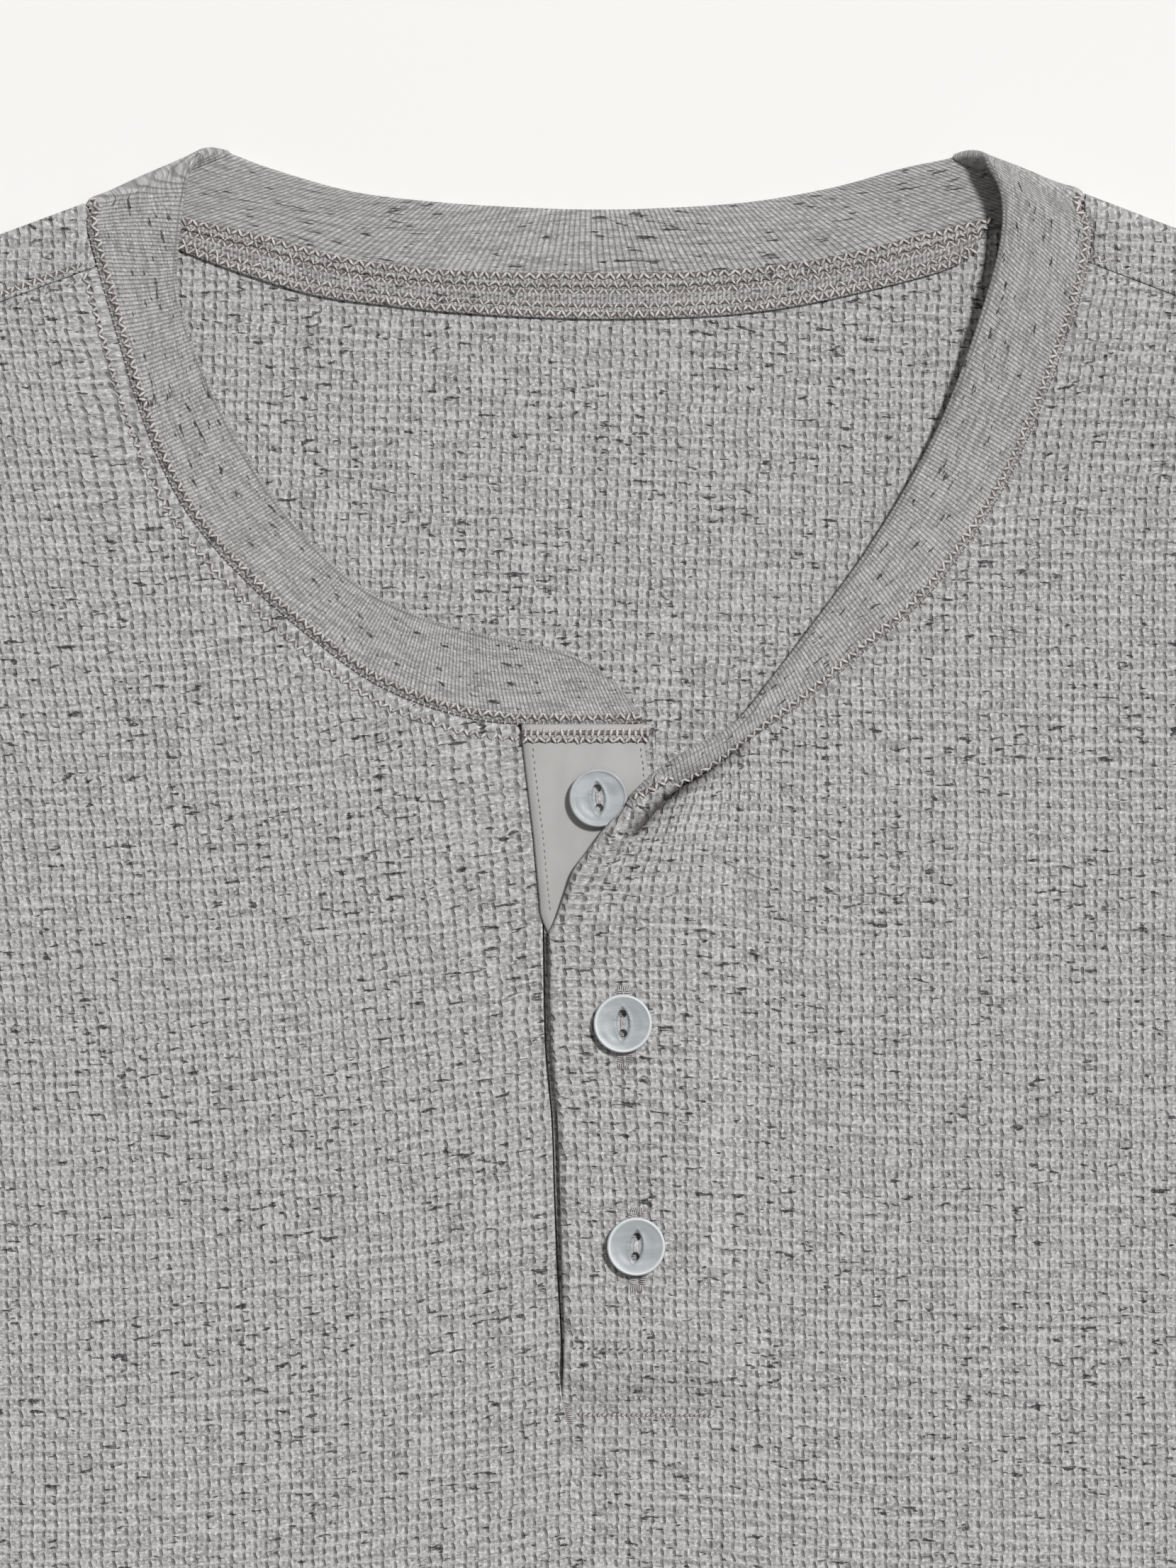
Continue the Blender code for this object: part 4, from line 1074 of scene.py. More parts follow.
@dataclass
class Placket:
    """The button side of the opening: the knit underlap and the smooth woven facing on it.

    Attributes:
        knit, woven: the finishes of the two layers.
        columns, rows: steps across and down each.
        top: where both begin, under the neckband.
    """

    knit: bpy.types.Material
    woven: bpy.types.Material
    columns: int = 34
    rows: int = 130
    top: float = -112.9

    @staticmethod
    def left_edge(y: Array, tucked: float) -> Array:
        """Where a layer's edge at the slit runs, drawn in by some width where the overlap lies on it."""
        edge = slit_x(y, 1) + SLIT_SEAM_GAP
        return edge + (tucked + 0.45) * (1.0 - ease(-158.0, -149.0, y)) - 0.45 if tucked else edge

    def layer(self, height: float, width: float, end: float, edge_drop: float, tucked: float) -> Patch:
        """A strip beside the slit's edge that runs under the overlap.

        Args:
            height: the middle of its wall above the surface.
            width: its width.
            end: where its lower end is.
            edge_drop: how far its folded edges come down.
            tucked: how far its edge at the slit is drawn in, below the rolled corner.

        Returns:
            The patch.
        """
        def surface(column: Array, row: Array) -> tuple[Array, Array]:
            """Places and knit coordinates of the strip's points."""
            share = column / self.columns
            share = share * 0.55 + 0.45 * (1.0 - np.cos(math.pi * share)) * 0.5
            down = row / self.rows
            y = self.top + (end - self.top) * (down * 0.75 + 0.25 * down ** 2)
            left, right = self.left_edge(y, tucked), self.left_edge(y, 0.0) + width
            x = left + (right - left) * share
            inward = np.minimum(share, 1.0 - share) * width
            z = height - edge_drop * np.exp(-(inward / 0.7) ** 2)
            if edge_drop:
                z = z + 0.32 * np.exp(-((y + 114.4) / 0.95) ** 2) - 0.45 * np.exp(-((x - left) / 0.6) ** 2)
            z = z + 0.12 * np.sin(x * 0.33 + 1.0) * np.sin(y * 0.19) * ease(0.0, 4.0, inward)
            return np.column_stack([x, y, z]), np.column_stack([x, y])

        return Patch(self.columns, self.rows, surface)

    def build(self) -> None:
        """Make both layers and hide the imported underlap and facing."""
        under = cloth_piece("placket_underlap", [self.layer(FRONT_HEIGHT, UNDERLAP_WIDTH, UNDERLAP_END, 0.0, 0.0)],
                            WAFFLE_WALL, self.knit)
        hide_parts("underlap")
        facing = cloth_piece("placket_facing", [self.layer(FACING_HEIGHT, FACING_WIDTH, FACING_END, 0.2, FACING_TUCK)],
                             WOVEN_WALL, self.woven)
        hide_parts("underlap_facing")


@dataclass
class BackAllowance:
    """The back's neck seam on its inside: both cut edges laid down over the back and covered with stitches.

    Attributes:
        rib: its finish.
        columns, rows: steps along and across it.
        wall: its thickness.
        width: distance across it, for its knit.
    """

    rib: bpy.types.Material
    columns: int = 220
    rows: int = 14
    wall: float = 0.7
    width: float = 8.7

    def __post_init__(self) -> None:
        """Set out its edge on the band and its cut edge on the back."""
        upper = (BAND_SEAM + BAND_INWARD * ALLOWANCE_OVER_BAND)[LEFT_BACK:RIGHT_TURN, :2]
        self.upper = upper[(upper[:, 0] > -83.5) & (upper[:, 0] < 79.5)]
        self.lower = curve_through(ALLOWANCE_EDGE)

    def plan(self, share: Array, down: Array) -> Array:
        """Plan places at shares along the seam and shares down from the band to the cut edge."""
        return at_shares(self.upper, share) * (1.0 - down)[:, None] + at_shares(self.lower, share) * down[:, None]

    def height(self, down: Array) -> Array:
        """Height of the middle of its wall: high where it crosses the band, lower on the back."""
        step = 1.75 + 0.5 * (1.0 - ease(0.16, 0.42, down))
        rows = 0.16 * np.cos(math.tau * (down - 0.11) / 0.43)
        return step + rows - 0.25 * np.exp(-((down / 0.05) ** 2)) - 0.12 * np.exp(-(((1.0 - down) / 0.04) ** 2))

    def line(self, down: float) -> Line:
        """A line on its upper face at a share of the way from the band to the cut edge."""
        share = np.linspace(0.0, 1.0, 320)
        level = np.full_like(share, down)
        return np.column_stack([self.plan(share, level), self.height(level) + self.wall / 2])

    def build(self) -> bpy.types.Object:
        """Make the allowance, which goes with the back as its turned edge."""
        def surface(column: Array, row: Array) -> tuple[Array, Array]:
            """Places and knit coordinates of the allowance's points."""
            share, down = column / self.columns, row / self.rows
            plan = self.plan(share, down)
            return np.column_stack([plan, self.height(down)]), np.column_stack([plan[:, 0], down * self.width])

        return cloth_piece("neck_allowance", [Patch(self.columns, self.rows, surface)], self.wall, self.rib)


# ---------------------------------------------------------------- sewing

@dataclass(frozen=True)
class Stitch:
    """How the thread lies in a row of stitches.

    Attributes:
        length, width: size of the thread that shows in one stitch.
        pitch: distance between stitches.
        slant: how far each is turned from the row, in degrees.
        zigzag: whether every second one is turned the other way.
        bed: width of a flat dark sheet of beads under the row that paints its shade, or 0.
        raised: how far the thread's middle stands over the cloth.
        tone: 1 for thread in the light, less for thread painted in shade where it is pulled into the cloth.
    """

    length: float
    width: float
    pitch: float
    slant: float = 0.0
    zigzag: bool = False
    bed: float = 0.0
    raised: float = 0.12
    tone: float = 1.0


class Row(Enum):
    """The kinds of stitch rows on the garment."""

    LOOPS = Stitch(1.85, 0.58, 1.08, 55.0, True, 1.0, 0.22)
    SECOND = Stitch(1.75, 0.6, 1.12, 50.0, True, 1.25, 0.4)
    LADDER = Stitch(0.95, 0.34, 1.25, 84.0, False, 0.5, 0.12)
    COVER = Stitch(1.75, 0.46, 1.15, 52.0, True, 0.9, 0.12)
    DOTS = Stitch(0.8, 0.34, 1.5, 22.0, False, 0.0, 0.1, 0.1)
    BARS = Stitch(2.0, 0.68, 1.2, 88.0, False, 1.2, 0.12)
    EDGE = Stitch(0.7, 0.24, 1.25, 0.0, False, 0.0, 0.05, 0.15)
    PLAIN = Stitch(1.9, 0.42, 2.5, 0.0, False, 0.0, 0.24, 0.6)
    BOX = Stitch(0.8, 0.4, 1.4, 10.0, False, 0.0, 0.34, 0.0)
    ROPE = Stitch(1.1, 0.5, 0.95, 35.0, False, 0.5, 0.3, 0.8)
    SATIN = Stitch(1.5, 0.34, 0.42, 84.0, False, 0.0, 0.24, 0.7)


@dataclass
class Sewing:
    """Rows of stitches on one part of the garment, gathered into one piece.

    Attributes:
        name: the piece's name.
        finish: its thread.
        seed: starts its own chance, which makes no two stitches quite alike.
        beads, tones: the points of each bead of thread so far, and how light it is, where less than 1 paints it in
            shade.
    """

    name: str
    finish: bpy.types.Material
    seed: int
    beads: list[Array] = field(default_factory=list)
    tones: list[Array] = field(default_factory=list)

    def __post_init__(self) -> None:
        """Make the bead that every stitch repeats."""
        self.chance = np.random.default_rng(self.seed)
        bm = bmesh.new()
        bmesh.ops.create_uvsphere(bm, u_segments=6, v_segments=4, radius=0.5)
        bmesh.ops.rotate(bm, verts=bm.verts, cent=(0, 0, 0), matrix=Matrix.Rotation(math.pi / 2, 3, "Y"))
        self.bead_mesh = as_mesh(bm, "bead")
        self.bead = np.array([vert.co for vert in self.bead_mesh.vertices])

    def add(self, middle: Array, ahead: Array, across: Array, out: Array, tone: float) -> None:
        """Add beads of thread.

        Args:
            middle: their middles.
            ahead, across, out: their length, width and height, each along its way.
            tone: 1 for thread on top, 0 for what lies in its shade.
        """
        axes = np.stack([ahead, across, out], axis=1)
        self.beads.append(middle[:, None, :] + np.einsum("vk,nkc->nvc", self.bead, axes))
        self.tones.append(np.full(len(middle), tone))

    def row(self, kind: Row, line: Line, out: Line | None = None) -> None:
        """Sew a row.

        Args:
            kind: the kind of stitch.
            line: its path on the cloth's face.
            out: the way out of the cloth along it, straight up where none is given.
        """
        stitch = kind.value
        lengths = lengths_along(line)
        at = np.arange(stitch.pitch * 0.5, lengths[-1], stitch.pitch)
        up = np.tile((0.0, 0.0, 1.0), (len(line), 1)) if out is None else out
        way = np.gradient(line, axis=0)
        place, normal, tangent = (interpolated(rows, at, lengths) for rows in (line, up, way))
        normal = unit(normal)
        tangent = unit(tangent - normal * (tangent * normal).sum(axis=1)[:, None])
        side = np.cross(normal, tangent)
        turn = np.radians(stitch.slant + self.chance.normal(0.0, 6.0, len(at)))
        if stitch.zigzag:
            turn *= np.where(np.arange(len(at)) % 2, -1.0, 1.0)
        ahead = tangent * np.cos(turn)[:, None] + side * np.sin(turn)[:, None]
        size = self.chance.uniform(0.84, 1.12, len(at))[:, None]
        shifted = side * self.chance.normal(0.0, 0.06, len(at))[:, None]
        self.add(place + normal * stitch.raised + shifted, ahead * stitch.length * size,
                 np.cross(normal, ahead) * stitch.width, normal * stitch.width * 0.8, stitch.tone)
        # Painted shade: a flat bead in the shade colour under each stitch stands in for the shade of the row
        if stitch.bed:
            self.add(place + normal * 0.02, tangent * stitch.pitch * 1.5, side * stitch.bed, normal * 0.2, 0.0)

    def build(self) -> bpy.types.Object:
        """Make one piece of all the rows."""
        beads, tones = np.concatenate(self.beads), np.concatenate(self.tones)
        # The bead is doubled until there are enough, from a fresh start, which keeps its points in order
        size, copy = len(self.bead), self.bead_mesh
        bm = bmesh.new()
        bm.from_mesh(copy)
        while len(bm.verts) < len(beads) * size:
            bm.to_mesh(copy)
            bm.from_mesh(copy)
        bpy.data.meshes.remove(copy)
        bm.verts.ensure_lookup_table()
        bmesh.ops.delete(bm, geom=bm.verts[len(beads) * size:], context="VERTS")
        tone = bm.verts.layers.float.new("tone")
        for vert, place, value in zip(bm.verts, in_frame(beads.reshape(-1, 3)), np.repeat(tones, size)):
            vert.co = place
            vert[tone] = value
        return shown(self.name, bm, self.finish)


def on_front(line: Line, on_overlap: bool) -> Line:
    """A plan line laid on the front's face."""
    z = FrontPanel.height(line[:, 0], line[:, 1], on_overlap) + WAFFLE_WALL / 2
    return np.column_stack([line[:, :2], z])


def straight(start: tuple[float, ...], end: tuple[float, ...], count: int = 60) -> Line:
    """Points of a straight line."""
    share = np.linspace(0.0, 1.0, count)[:, None]
    return np.array(start) * (1.0 - share) + np.array(end) * share


@dataclass
class NeckSewing:
    """The cover stitch along the neck seam, on the front and on the inside of the back.

    Attributes:
        band, allowance: the pieces that it holds.
        thread: its finish.
    """

    band: Neckband
    allowance: BackAllowance
    thread: bpy.types.Material

    def build(self) -> None:
        """Sew the front's rows and the back's."""
        front = Sewing("sewing_neck_front", self.thread, 11)
        for first, last, side in ((2, LEFT_TURN + SPAN, -1), (RIGHT_TURN + 3 * SPAN, len(self.band.seam_line) - 4, 1)):
            front.row(Row.LOOPS, *self.band.outer_face(first, last, 1.5))
            front.row(Row.LADDER, *self.band.outer_face(first, last, 0.1))
            low = beside(self.band.seam_line[max(first, 2 * SPAN):last:3, :2], -side * RIDGE_REACH[side])
            below = SHOULDERS[side].measure(low)[1]
            low = low[(below > SHOULDER_SEAM) & ((low[:, 0] < slit_x(low[:, 1], 1) - 0.5) | (side > 0))]
            front.row(Row.SECOND, on_front(low, side > 0))
        # Across the top of the facing
        for kind, y, z in ((Row.SECOND, -115.9, FACING_FACE), (Row.BARS, -114.5, FACING_FACE + 0.25)):
            front.row(kind, straight((-12.9, y, z), (12.2, y, z)))
        front.build()
        back = Sewing("sewing_neck_back", self.thread, 12)
        for down, kind in ((0.06, Row.SECOND), (0.24, Row.COVER), (0.41, Row.COVER), (0.54, Row.DOTS),
                           (0.70, Row.COVER), (0.90, Row.LOOPS)):
            back.row(kind, self.allowance.line(down))
        back.build()


@dataclass
class PlacketSewing:
    """The stitches of the placket: the facing's edges, the box at its foot, and the buttonholes.

    Attributes:
        thread: its finish.
        buttons: the buttons whose holes are sewn.
    """

    thread: bpy.types.Material
    buttons: Sequence["Button"]

    def build(self) -> None:
        """Sew all of it."""
        sewing = Sewing("sewing_placket", self.thread, 21)
        y = np.linspace(-117.2, -149.0, 60)
        sewing.row(Row.EDGE, np.column_stack([Placket.left_edge(y, FACING_TUCK) + 1.7, y, np.full(60, FACING_FACE)]))
        y = np.linspace(-117.2, -126.0, 30)
        sewing.row(Row.EDGE, np.column_stack([slit_x(y, 1) + FACING_WIDTH - 0.4, y, np.full(30, FACING_FACE)]))
        rows = [(Row.BOX, (-3.3, -234.9), (22.6, -235.6), 60), (Row.ROPE, (-2.0, -248.1), (24.3, -248.4), 60),
                (Row.SATIN, (-3.9, -245.9), (-3.5, -249.9), 20)]
        for x, y in [(button.x, button.y) for button in self.buttons]:
            rows += [(Row.SATIN, (x + 0.5 + shift, y - 8.0), (x + 0.2 + shift, y + 6.6), 60) for shift in (-0.95, 0.95)]
            rows += [(Row.SATIN, (x - 1.1, y + end), (x + 1.6, y + end), 16) for end in (-8.3, 6.9)]
        for kind, start, end, count in rows:
            sewing.row(kind, on_front(straight(start, end, count), True))
        sewing.build()


@dataclass
class BodySewing:
    """The rows along the shoulders, the armholes and the hem.

    Attributes:
        thread: its finish.
    """

    thread: bpy.types.Material

    def build(self) -> None:
        """Sew all of it."""
        body = Sewing("sewing_body", self.thread, 31)
        for side in (-1, 1):
            shoulder = SHOULDERS[side]
            t = np.linspace(4.5 if side < 0 else 3.5, shoulder.length - 9.0, 120)
            top = BACK_HEIGHT + 2 * shoulder.radius(t) + WAFFLE_WALL / 2
            for below, kind in ((SHOULDER_SEAM - 1.3, Row.COVER), (SHOULDER_SEAM + 1.5, Row.DOTS)):
                place = shoulder.place(t, np.full_like(t, below))
                body.row(kind, np.column_stack([place, top]) if below < SHOULDER_SEAM else on_front(place, side > 0))
            hole = beside(armhole(side), -side * 2.6)
            hole = hole[shoulder.measure(hole)[1] > SHOULDER_SEAM + 3.0][:-1]
            body.row(Row.PLAIN, on_front(hole, side > 0))
        for y in (20.0 - BODY_LENGTH, 24.0 - BODY_LENGTH):
            for side in (-1, 1):
                hem = straight((side * 4.0 - 4.7, y), (side * (HEM_HALF_WIDTH - 2.0), y), 160)
                body.row(Row.PLAIN, on_front(hem, side > 0))
        body.build()


# ---------------------------------------------------------------- finishes

Socket = Any


def linear(colour: str) -> tuple[float, float, float, float]:
    """The linear colour of an sRGB hex value."""
    parts = [int(colour[i:i + 2], 16) / 255.0 for i in (1, 3, 5)]
    return tuple(p / 12.92 if p <= 0.04045 else ((p + 0.055) / 1.055) ** 2.4 for p in parts) + (1.0,)


def set_inputs(tree: bpy.types.NodeTree, node: bpy.types.Node, inputs: Mapping[Any, Any]) -> None:
    """Set a node's inputs to values, or link them to outputs."""
    for name, value in inputs.items():
        if isinstance(value, bpy.types.NodeSocket):
            tree.links.new(value, node.inputs[name])
        else:
            node.inputs[name].default_value = value


def add_node(tree: bpy.types.NodeTree, kind: str, settings: Mapping[str, Any] | None = None,
             inputs: Mapping[Any, Any] | None = None) -> bpy.types.Node:
    """Add a node to a tree.

    Args:
        tree: the material's node tree.
        kind: the node's type, without its ShaderNode prefix.
        settings: its properties.
        inputs: by name or number, a value for each input or the output that is linked to it.

    Returns:
        The node.
    """
    node = tree.nodes.new("ShaderNode" + kind)
    for name, value in (settings or {}).items():
        setattr(node, name, value)
    set_inputs(tree, node, inputs or {})
    return node


class Shading:
    """A material being made: its tree, its shader, and short ways to do sums with its sockets."""

    def __init__(self, name: str) -> None:
        """Start a material with nothing but its shader."""
        self.material = bpy.data.materials.new(name)
        self.material.use_nodes = True
        self.tree = self.material.node_tree
        self.shader = self.tree.nodes["Principled BSDF"]
        self.add = partial(add_node, self.tree)

    def sum(self, operation: str, *values: Any) -> Socket:
        """The result of a sum on sockets or numbers."""
        return self.add("Math", {"operation": operation}, dict(enumerate(values))).outputs[0]

    def between(self, value: Socket, low: float, high: float, start: float = 0.0, end: float = 1.0) -> Socket:
        """A socket's value eased from start to end as it goes from low to high."""
        node = self.add("MapRange", {"interpolation_type": "SMOOTHSTEP"},
                        {0: value, 1: low, 2: high, 3: start, 4: end})
        return node.outputs[0]

    def blend(self, share: Any, first: Any, second: Any) -> Socket:
        """Two colours mixed by a share, each a socket or a hex value."""
        first, second = (linear(colour) if isinstance(colour, str) else colour for colour in (first, second))
        return self.add("Mix", {"data_type": "RGBA"}, {0: share, 6: first, 7: second}).outputs[2]

    def noise(self, place: Socket, scale: Any, detail: float = 2.0, rough: float = 0.5) -> Socket:
        """Noise at a place, with about this many features to the unit, or as many as it says on each axis."""
        if isinstance(scale, tuple):
            place, scale = self.add("Mapping", None, {"Vector": place, "Scale": scale}).outputs[0], 1.0
        node = self.add("TexNoise", {"noise_dimensions": "3D"},
                        {"Vector": place, "Scale": scale, "Detail": detail, "Roughness": rough})
        return node.outputs[0]

    def crest(self, value: Socket, middle: Any) -> Socket:
        """1 where a value that counts repeats is at the middle, and -1 half a repeat away."""
        return self.sum("COSINE", self.sum("MULTIPLY", self.sum("SUBTRACT", value, middle), math.tau))

    def marked(self, attribute: str) -> Socket:
        """A number that the mesh's points carry."""
        return self.add("Attribute", {"attribute_name": attribute}).outputs["Fac"]

    def knit_place(self) -> tuple[Socket, Socket, Socket]:
        """The cloth's own coordinates in millimetres, together and one by one."""
        place = self.add("UVMap", {"uv_map": KNIT_UV}).outputs[0]
        split = self.add("SeparateXYZ", None, {0: place})
        return place, split.outputs[0], split.outputs[1]

    def finish(self, colour: Socket, roughness: Any, height: Socket | None, depth: float, strength: float,
               constants: Mapping[str, float]) -> bpy.types.Material:
        """Join the colour, the roughness and the relief to the shader.

        Args:
            colour: the base colour.
            roughness: a number or socket.
            height: the relief from 0 to 1, if any.
            depth: how deep that is, in millimetres.
            strength: how much of it shows.
            constants: the shader's other values.

        Returns:
            The material.
        """
        values = {"Base Color": colour, "Roughness": roughness, **constants}
        if height is not None:
            bump = self.add("Bump", None, {"Strength": strength, "Distance": depth * MM, "Height": height})
            values["Normal"] = bump.outputs[0]
        set_inputs(self.tree, self.shader, values)
        return self.material


@dataclass(frozen=True)
class HeatherYarn:
    """Grey melange yarn: pale and dark cotton fibres spun together, so that it shows streaks and dark slubs.

    Attributes:
        bright: bleached fibres that catch the light.
        pale: the lighter yarn.
        middle: what the eye takes for its colour.
        dark: painted shade for the cloth's hollows and creases.
        slub: the dark flecks.
        fleck_share: how strong the faintest fleck is.
    """

    bright: str = "#e4e5e6"
    pale: str = "#c6c5c4"
    middle: str = "#918f8e"
    dark: str = "#4f4848"
    slub: str = "#323034"
    fleck_share: float = 0.45

    def colour(self, shading: Shading, place: Socket, hollow: Socket) -> Socket:
        """The yarn's colour.

        Args:
            shading: the material being made.
            place: the cloth's own coordinates.
            hollow: the share of painted shade, from 0 on the crests of the knit to 1 in its hollows.

        Returns:
            The colour socket.
        """
        # Streaks follow the yarn, which runs along the rows: some 4 mm long and 0.6 mm high
        streaks = shading.noise(place, (0.14, 0.9, 1.0), 4.0, 0.68)
        grain = shading.noise(place, (1.5, 1.9, 1.0), 3.0, 0.75)
        tone = shading.sum("ADD", shading.sum("MULTIPLY", streaks, 0.58), shading.sum("MULTIPLY", grain, 0.42))
        light = shading.blend(shading.between(tone, 0.39, 0.60), self.middle, self.pale)
        specks = shading.noise(place, (1.25, 1.7, 1.0), 2.0, 0.6)
        light = shading.blend(shading.between(specks, 0.52, 0.68, 0.0, 0.8), light, self.bright)
        # Painted shade: the yarn is darkened towards the dark colour by the share in hollow
        cloth = shading.blend(hollow, light, self.dark)
        # Slubs: dark tufts spun into the yarn, up to 5 mm long and as high as the yarn, in loose clusters
        dashes = shading.noise(place, (0.29, 0.84, 1.0), 2.0, 0.55)
        clump = shading.noise(place, (0.045, 0.07, 1.0), 1.0, 0.5)
        limit = shading.between(clump, 0.36, 0.64, 0.65, 0.595)
        over = shading.between(shading.sum("SUBTRACT", dashes, limit), 0.0, 0.055)
        fleck = shading.sum("MULTIPLY", over, shading.between(grain, 0.3, 0.6, self.fleck_share, 1.0))
        return shading.blend(fleck, cloth, self.slub)


@dataclass(frozen=True)
class WaffleKnit:
    """Cotton thermal knit: raised columns and tuck rows round small hollows, soft and without gloss.

    Attributes:
        yarn: the yarn that it is knitted from.
        column: width of one column of waffles, in millimetres.
        row: height of one row.
        relief: depth of the hollows.
    """

    yarn: HeatherYarn = HeatherYarn()
    column: float = 2.29
    row: float = 2.14
    relief: float = 0.55

    def material(self, name: str) -> bpy.types.Material:
        """Make the cloth's material."""
        m = Shading(name)
        place, s, t = m.knit_place()
        # The machine's tension is never even, so the columns wander by a fraction of a stitch
        drift = m.noise(place, (0.11, 0.16, 1.0), 2.0, 0.5)
        columns = m.sum("DIVIDE", m.sum("MULTIPLY_ADD", m.sum("SUBTRACT", drift, 0.5), 1.5, s), self.column)
        sway = m.noise(place, (0.13, 0.1, 1.0), 1.0, 0.5)
        rows = m.sum("DIVIDE", m.sum("MULTIPLY_ADD", m.sum("SUBTRACT", sway, 0.5), 1.2, t), self.row)
        cell = m.add("CombineXYZ", None, {0: m.sum("FLOOR", columns), 1: m.sum("FLOOR", rows)}).outputs[0]
        chance = m.add("SeparateColor", None, {0: m.add("TexWhiteNoise", {"noise_dimensions": "2D"},
                                                        {"Vector": cell}).outputs["Color"]})
        across = m.sum("FRACT", columns)
        up = m.sum("MULTIPLY", m.sum("FRACT", rows), math.tau)
        # Each hollow is a short slanting slot between two columns of loops, deepest below its middle
        middle = m.sum("MULTIPLY_ADD", m.sum("SINE", up), 0.04, 0.43)
        height_in_row = m.sum("COSINE", m.sum("SUBTRACT", up, math.tau * 0.46))
        deep = m.between(height_in_row, -0.9, 0.6)
        own = m.sum("MULTIPLY", m.sum("SUBTRACT", chance.outputs[0], 0.5), deep)
        middle = m.sum("MULTIPLY_ADD", own, 0.11, middle)
        slot = m.crest(across, middle)
        strength = m.sum("MULTIPLY_ADD", deep, m.sum("MULTIPLY_ADD", chance.outputs[1], 0.5, 0.38), 0.34)
        pit = m.sum("MULTIPLY", m.between(slot, 0.55, 1.0), strength)
        beside_ridge = m.crest(across, 0.875)
        low = m.between(m.sum("COSINE", m.sum("SUBTRACT", up, math.tau * 0.70)), 0.0, 1.0)
        dent = m.sum("MULTIPLY", m.between(beside_ridge, 0.55, 1.0), m.sum("MULTIPLY_ADD", low, 0.34, 0.06))
        hollow = m.sum("MINIMUM", m.sum("ADD", pit, dent), 1.0)
        bar = m.between(m.sum("COSINE", up), 0.1, 1.0)
        loops = m.noise(place, (2.2, 2.0, 1.0), 2.0, 0.6)
        height = m.sum("MULTIPLY_ADD", loops, 0.4, m.sum("MULTIPLY", m.sum("SUBTRACT", 1.0, hollow), 0.8))
        height = m.sum("MULTIPLY_ADD", bar, 0.05, height)
        # Painted shade: the yarn is darkened in the knit's hollows and, by the fold mark, along the crease
        shade = m.sum("MINIMUM", m.sum("MULTIPLY_ADD", hollow, 0.69, m.marked("fold")), 1.0)
        colour = self.yarn.colour(m, place, shade)
        return m.finish(colour, 0.92, height, self.relief, 0.9,
                        {"IOR": 1.45, "Specular IOR Level": 0.15, "Sheen Weight": 0.12, "Sheen Roughness": 0.6})


@dataclass(frozen=True)
class RibKnit:
    """Fine cotton rib: narrow ridges across the band, matt, a little smoother than the waffle.

    Attributes:
        yarn: the yarn that it is knitted from.
        pitch: distance between ribs, in millimetres.
        relief: depth between them.
    """

    yarn: HeatherYarn = HeatherYarn(bright="#d6d5d4", pale="#bfbdbc", middle="#8f8d8c", dark="#5a5654")
    pitch: float = 0.80
    relief: float = 0.2

    def material(self, name: str) -> bpy.types.Material:
        """Make the rib's material."""
        m = Shading(name)
        place, s, t = m.knit_place()
        wander = m.noise(place, (0.25, 0.16, 1.0), 1.0, 0.5)
        s = m.sum("ADD", s, m.sum("MULTIPLY", m.sum("SUBTRACT", wander, 0.5), 0.5))
        rib = m.sum("COSINE", m.sum("MULTIPLY", s, math.tau / self.pitch))
        hollow = m.between(rib, 0.1, 1.0)
        loops = m.sum("COSINE", m.sum("MULTIPLY", t, math.tau / 0.62))
        height = m.sum("ADD", m.sum("SUBTRACT", 1.0, hollow), m.sum("MULTIPLY", loops, 0.12))
        height = m.sum("ADD", height, m.sum("MULTIPLY", m.noise(place, 2.6), 0.3))
        # Painted shade: the yarn is darkened between the ribs
        colour = self.yarn.colour(m, place, m.sum("MULTIPLY", hollow, 0.42))
        return m.finish(colour, 0.9, height, self.relief, 0.8,
                        {"IOR": 1.45, "Specular IOR Level": 0.2, "Sheen Weight": 0.2, "Sheen Roughness": 0.6})


@dataclass(frozen=True)
class PlainWeave:
    """Light grey cotton poplin: smooth, closely woven, with a faint grid of threads.

    Attributes:
        base, shade: its colour and the faint clouds in it.
        grid: the threads' crests.
        thread: width of one thread, in millimetres.
    """

    base: str = "#bab9b7"
    shade: str = "#b0afad"
    grid: str = "#8f8e8c"
    thread: float = 0.34

    def material(self, name: str) -> bpy.types.Material:
        """Make the weave's material."""
        m = Shading(name)
        place, s, t = m.knit_place()
        warp = m.sum("SINE", m.sum("MULTIPLY", s, math.pi / self.thread))
        weft = m.sum("SINE", m.sum("MULTIPLY", t, math.pi / self.thread))
        weave = m.sum("MULTIPLY_ADD", m.sum("MULTIPLY", warp, weft), 0.5, 0.5)
        soft = m.noise(place, (0.12, 0.08, 1.0), 2.0, 0.5)
        colour = m.blend(m.between(soft, 0.3, 0.7), self.base, self.shade)
        colour = m.blend(m.sum("MULTIPLY", weave, 0.14), colour, self.grid)
        return m.finish(colour, 0.78, weave, 0.06, 0.6, {"IOR": 1.45, "Specular IOR Level": 0.25,
                                                         "Sheen Weight": 0.1, "Sheen Roughness": 0.5})


@dataclass(frozen=True)
class SatinPolyester:
    """Moulded polyester button stock, bluish grey: satin from tumbling, a faint cloud, and a painted highlight on its
    pale lip.

    Attributes:
        base, pale: its colour and the clouds in it.
        lip: the painted highlight on its edge.
    """

    base: str = "#a0a5a8"
    pale: str = "#b4b8bb"
    lip: str = "#e3e6e8"

    def material(self, name: str) -> bpy.types.Material:
        """Make the button's material."""
        m = Shading(name)
        place = m.add("TexCoord").outputs["Object"]
        cloud = m.noise(place, (180.0, 420.0, 180.0), 2.0, 0.5)
        colour = m.blend(m.between(cloud, 0.35, 0.65), self.base, self.pale)
        # Painted highlight: the lip is coloured pale where the points are marked
        colour = m.blend(m.marked("lip"), colour, self.lip)
        rough = m.between(m.noise(place, 2600.0), 0.3, 0.7, 0.34, 0.46)
        return m.finish(colour, rough, cloud, 0.02, 0.3, {"IOR": 1.56, "Specular IOR Level": 0.5})


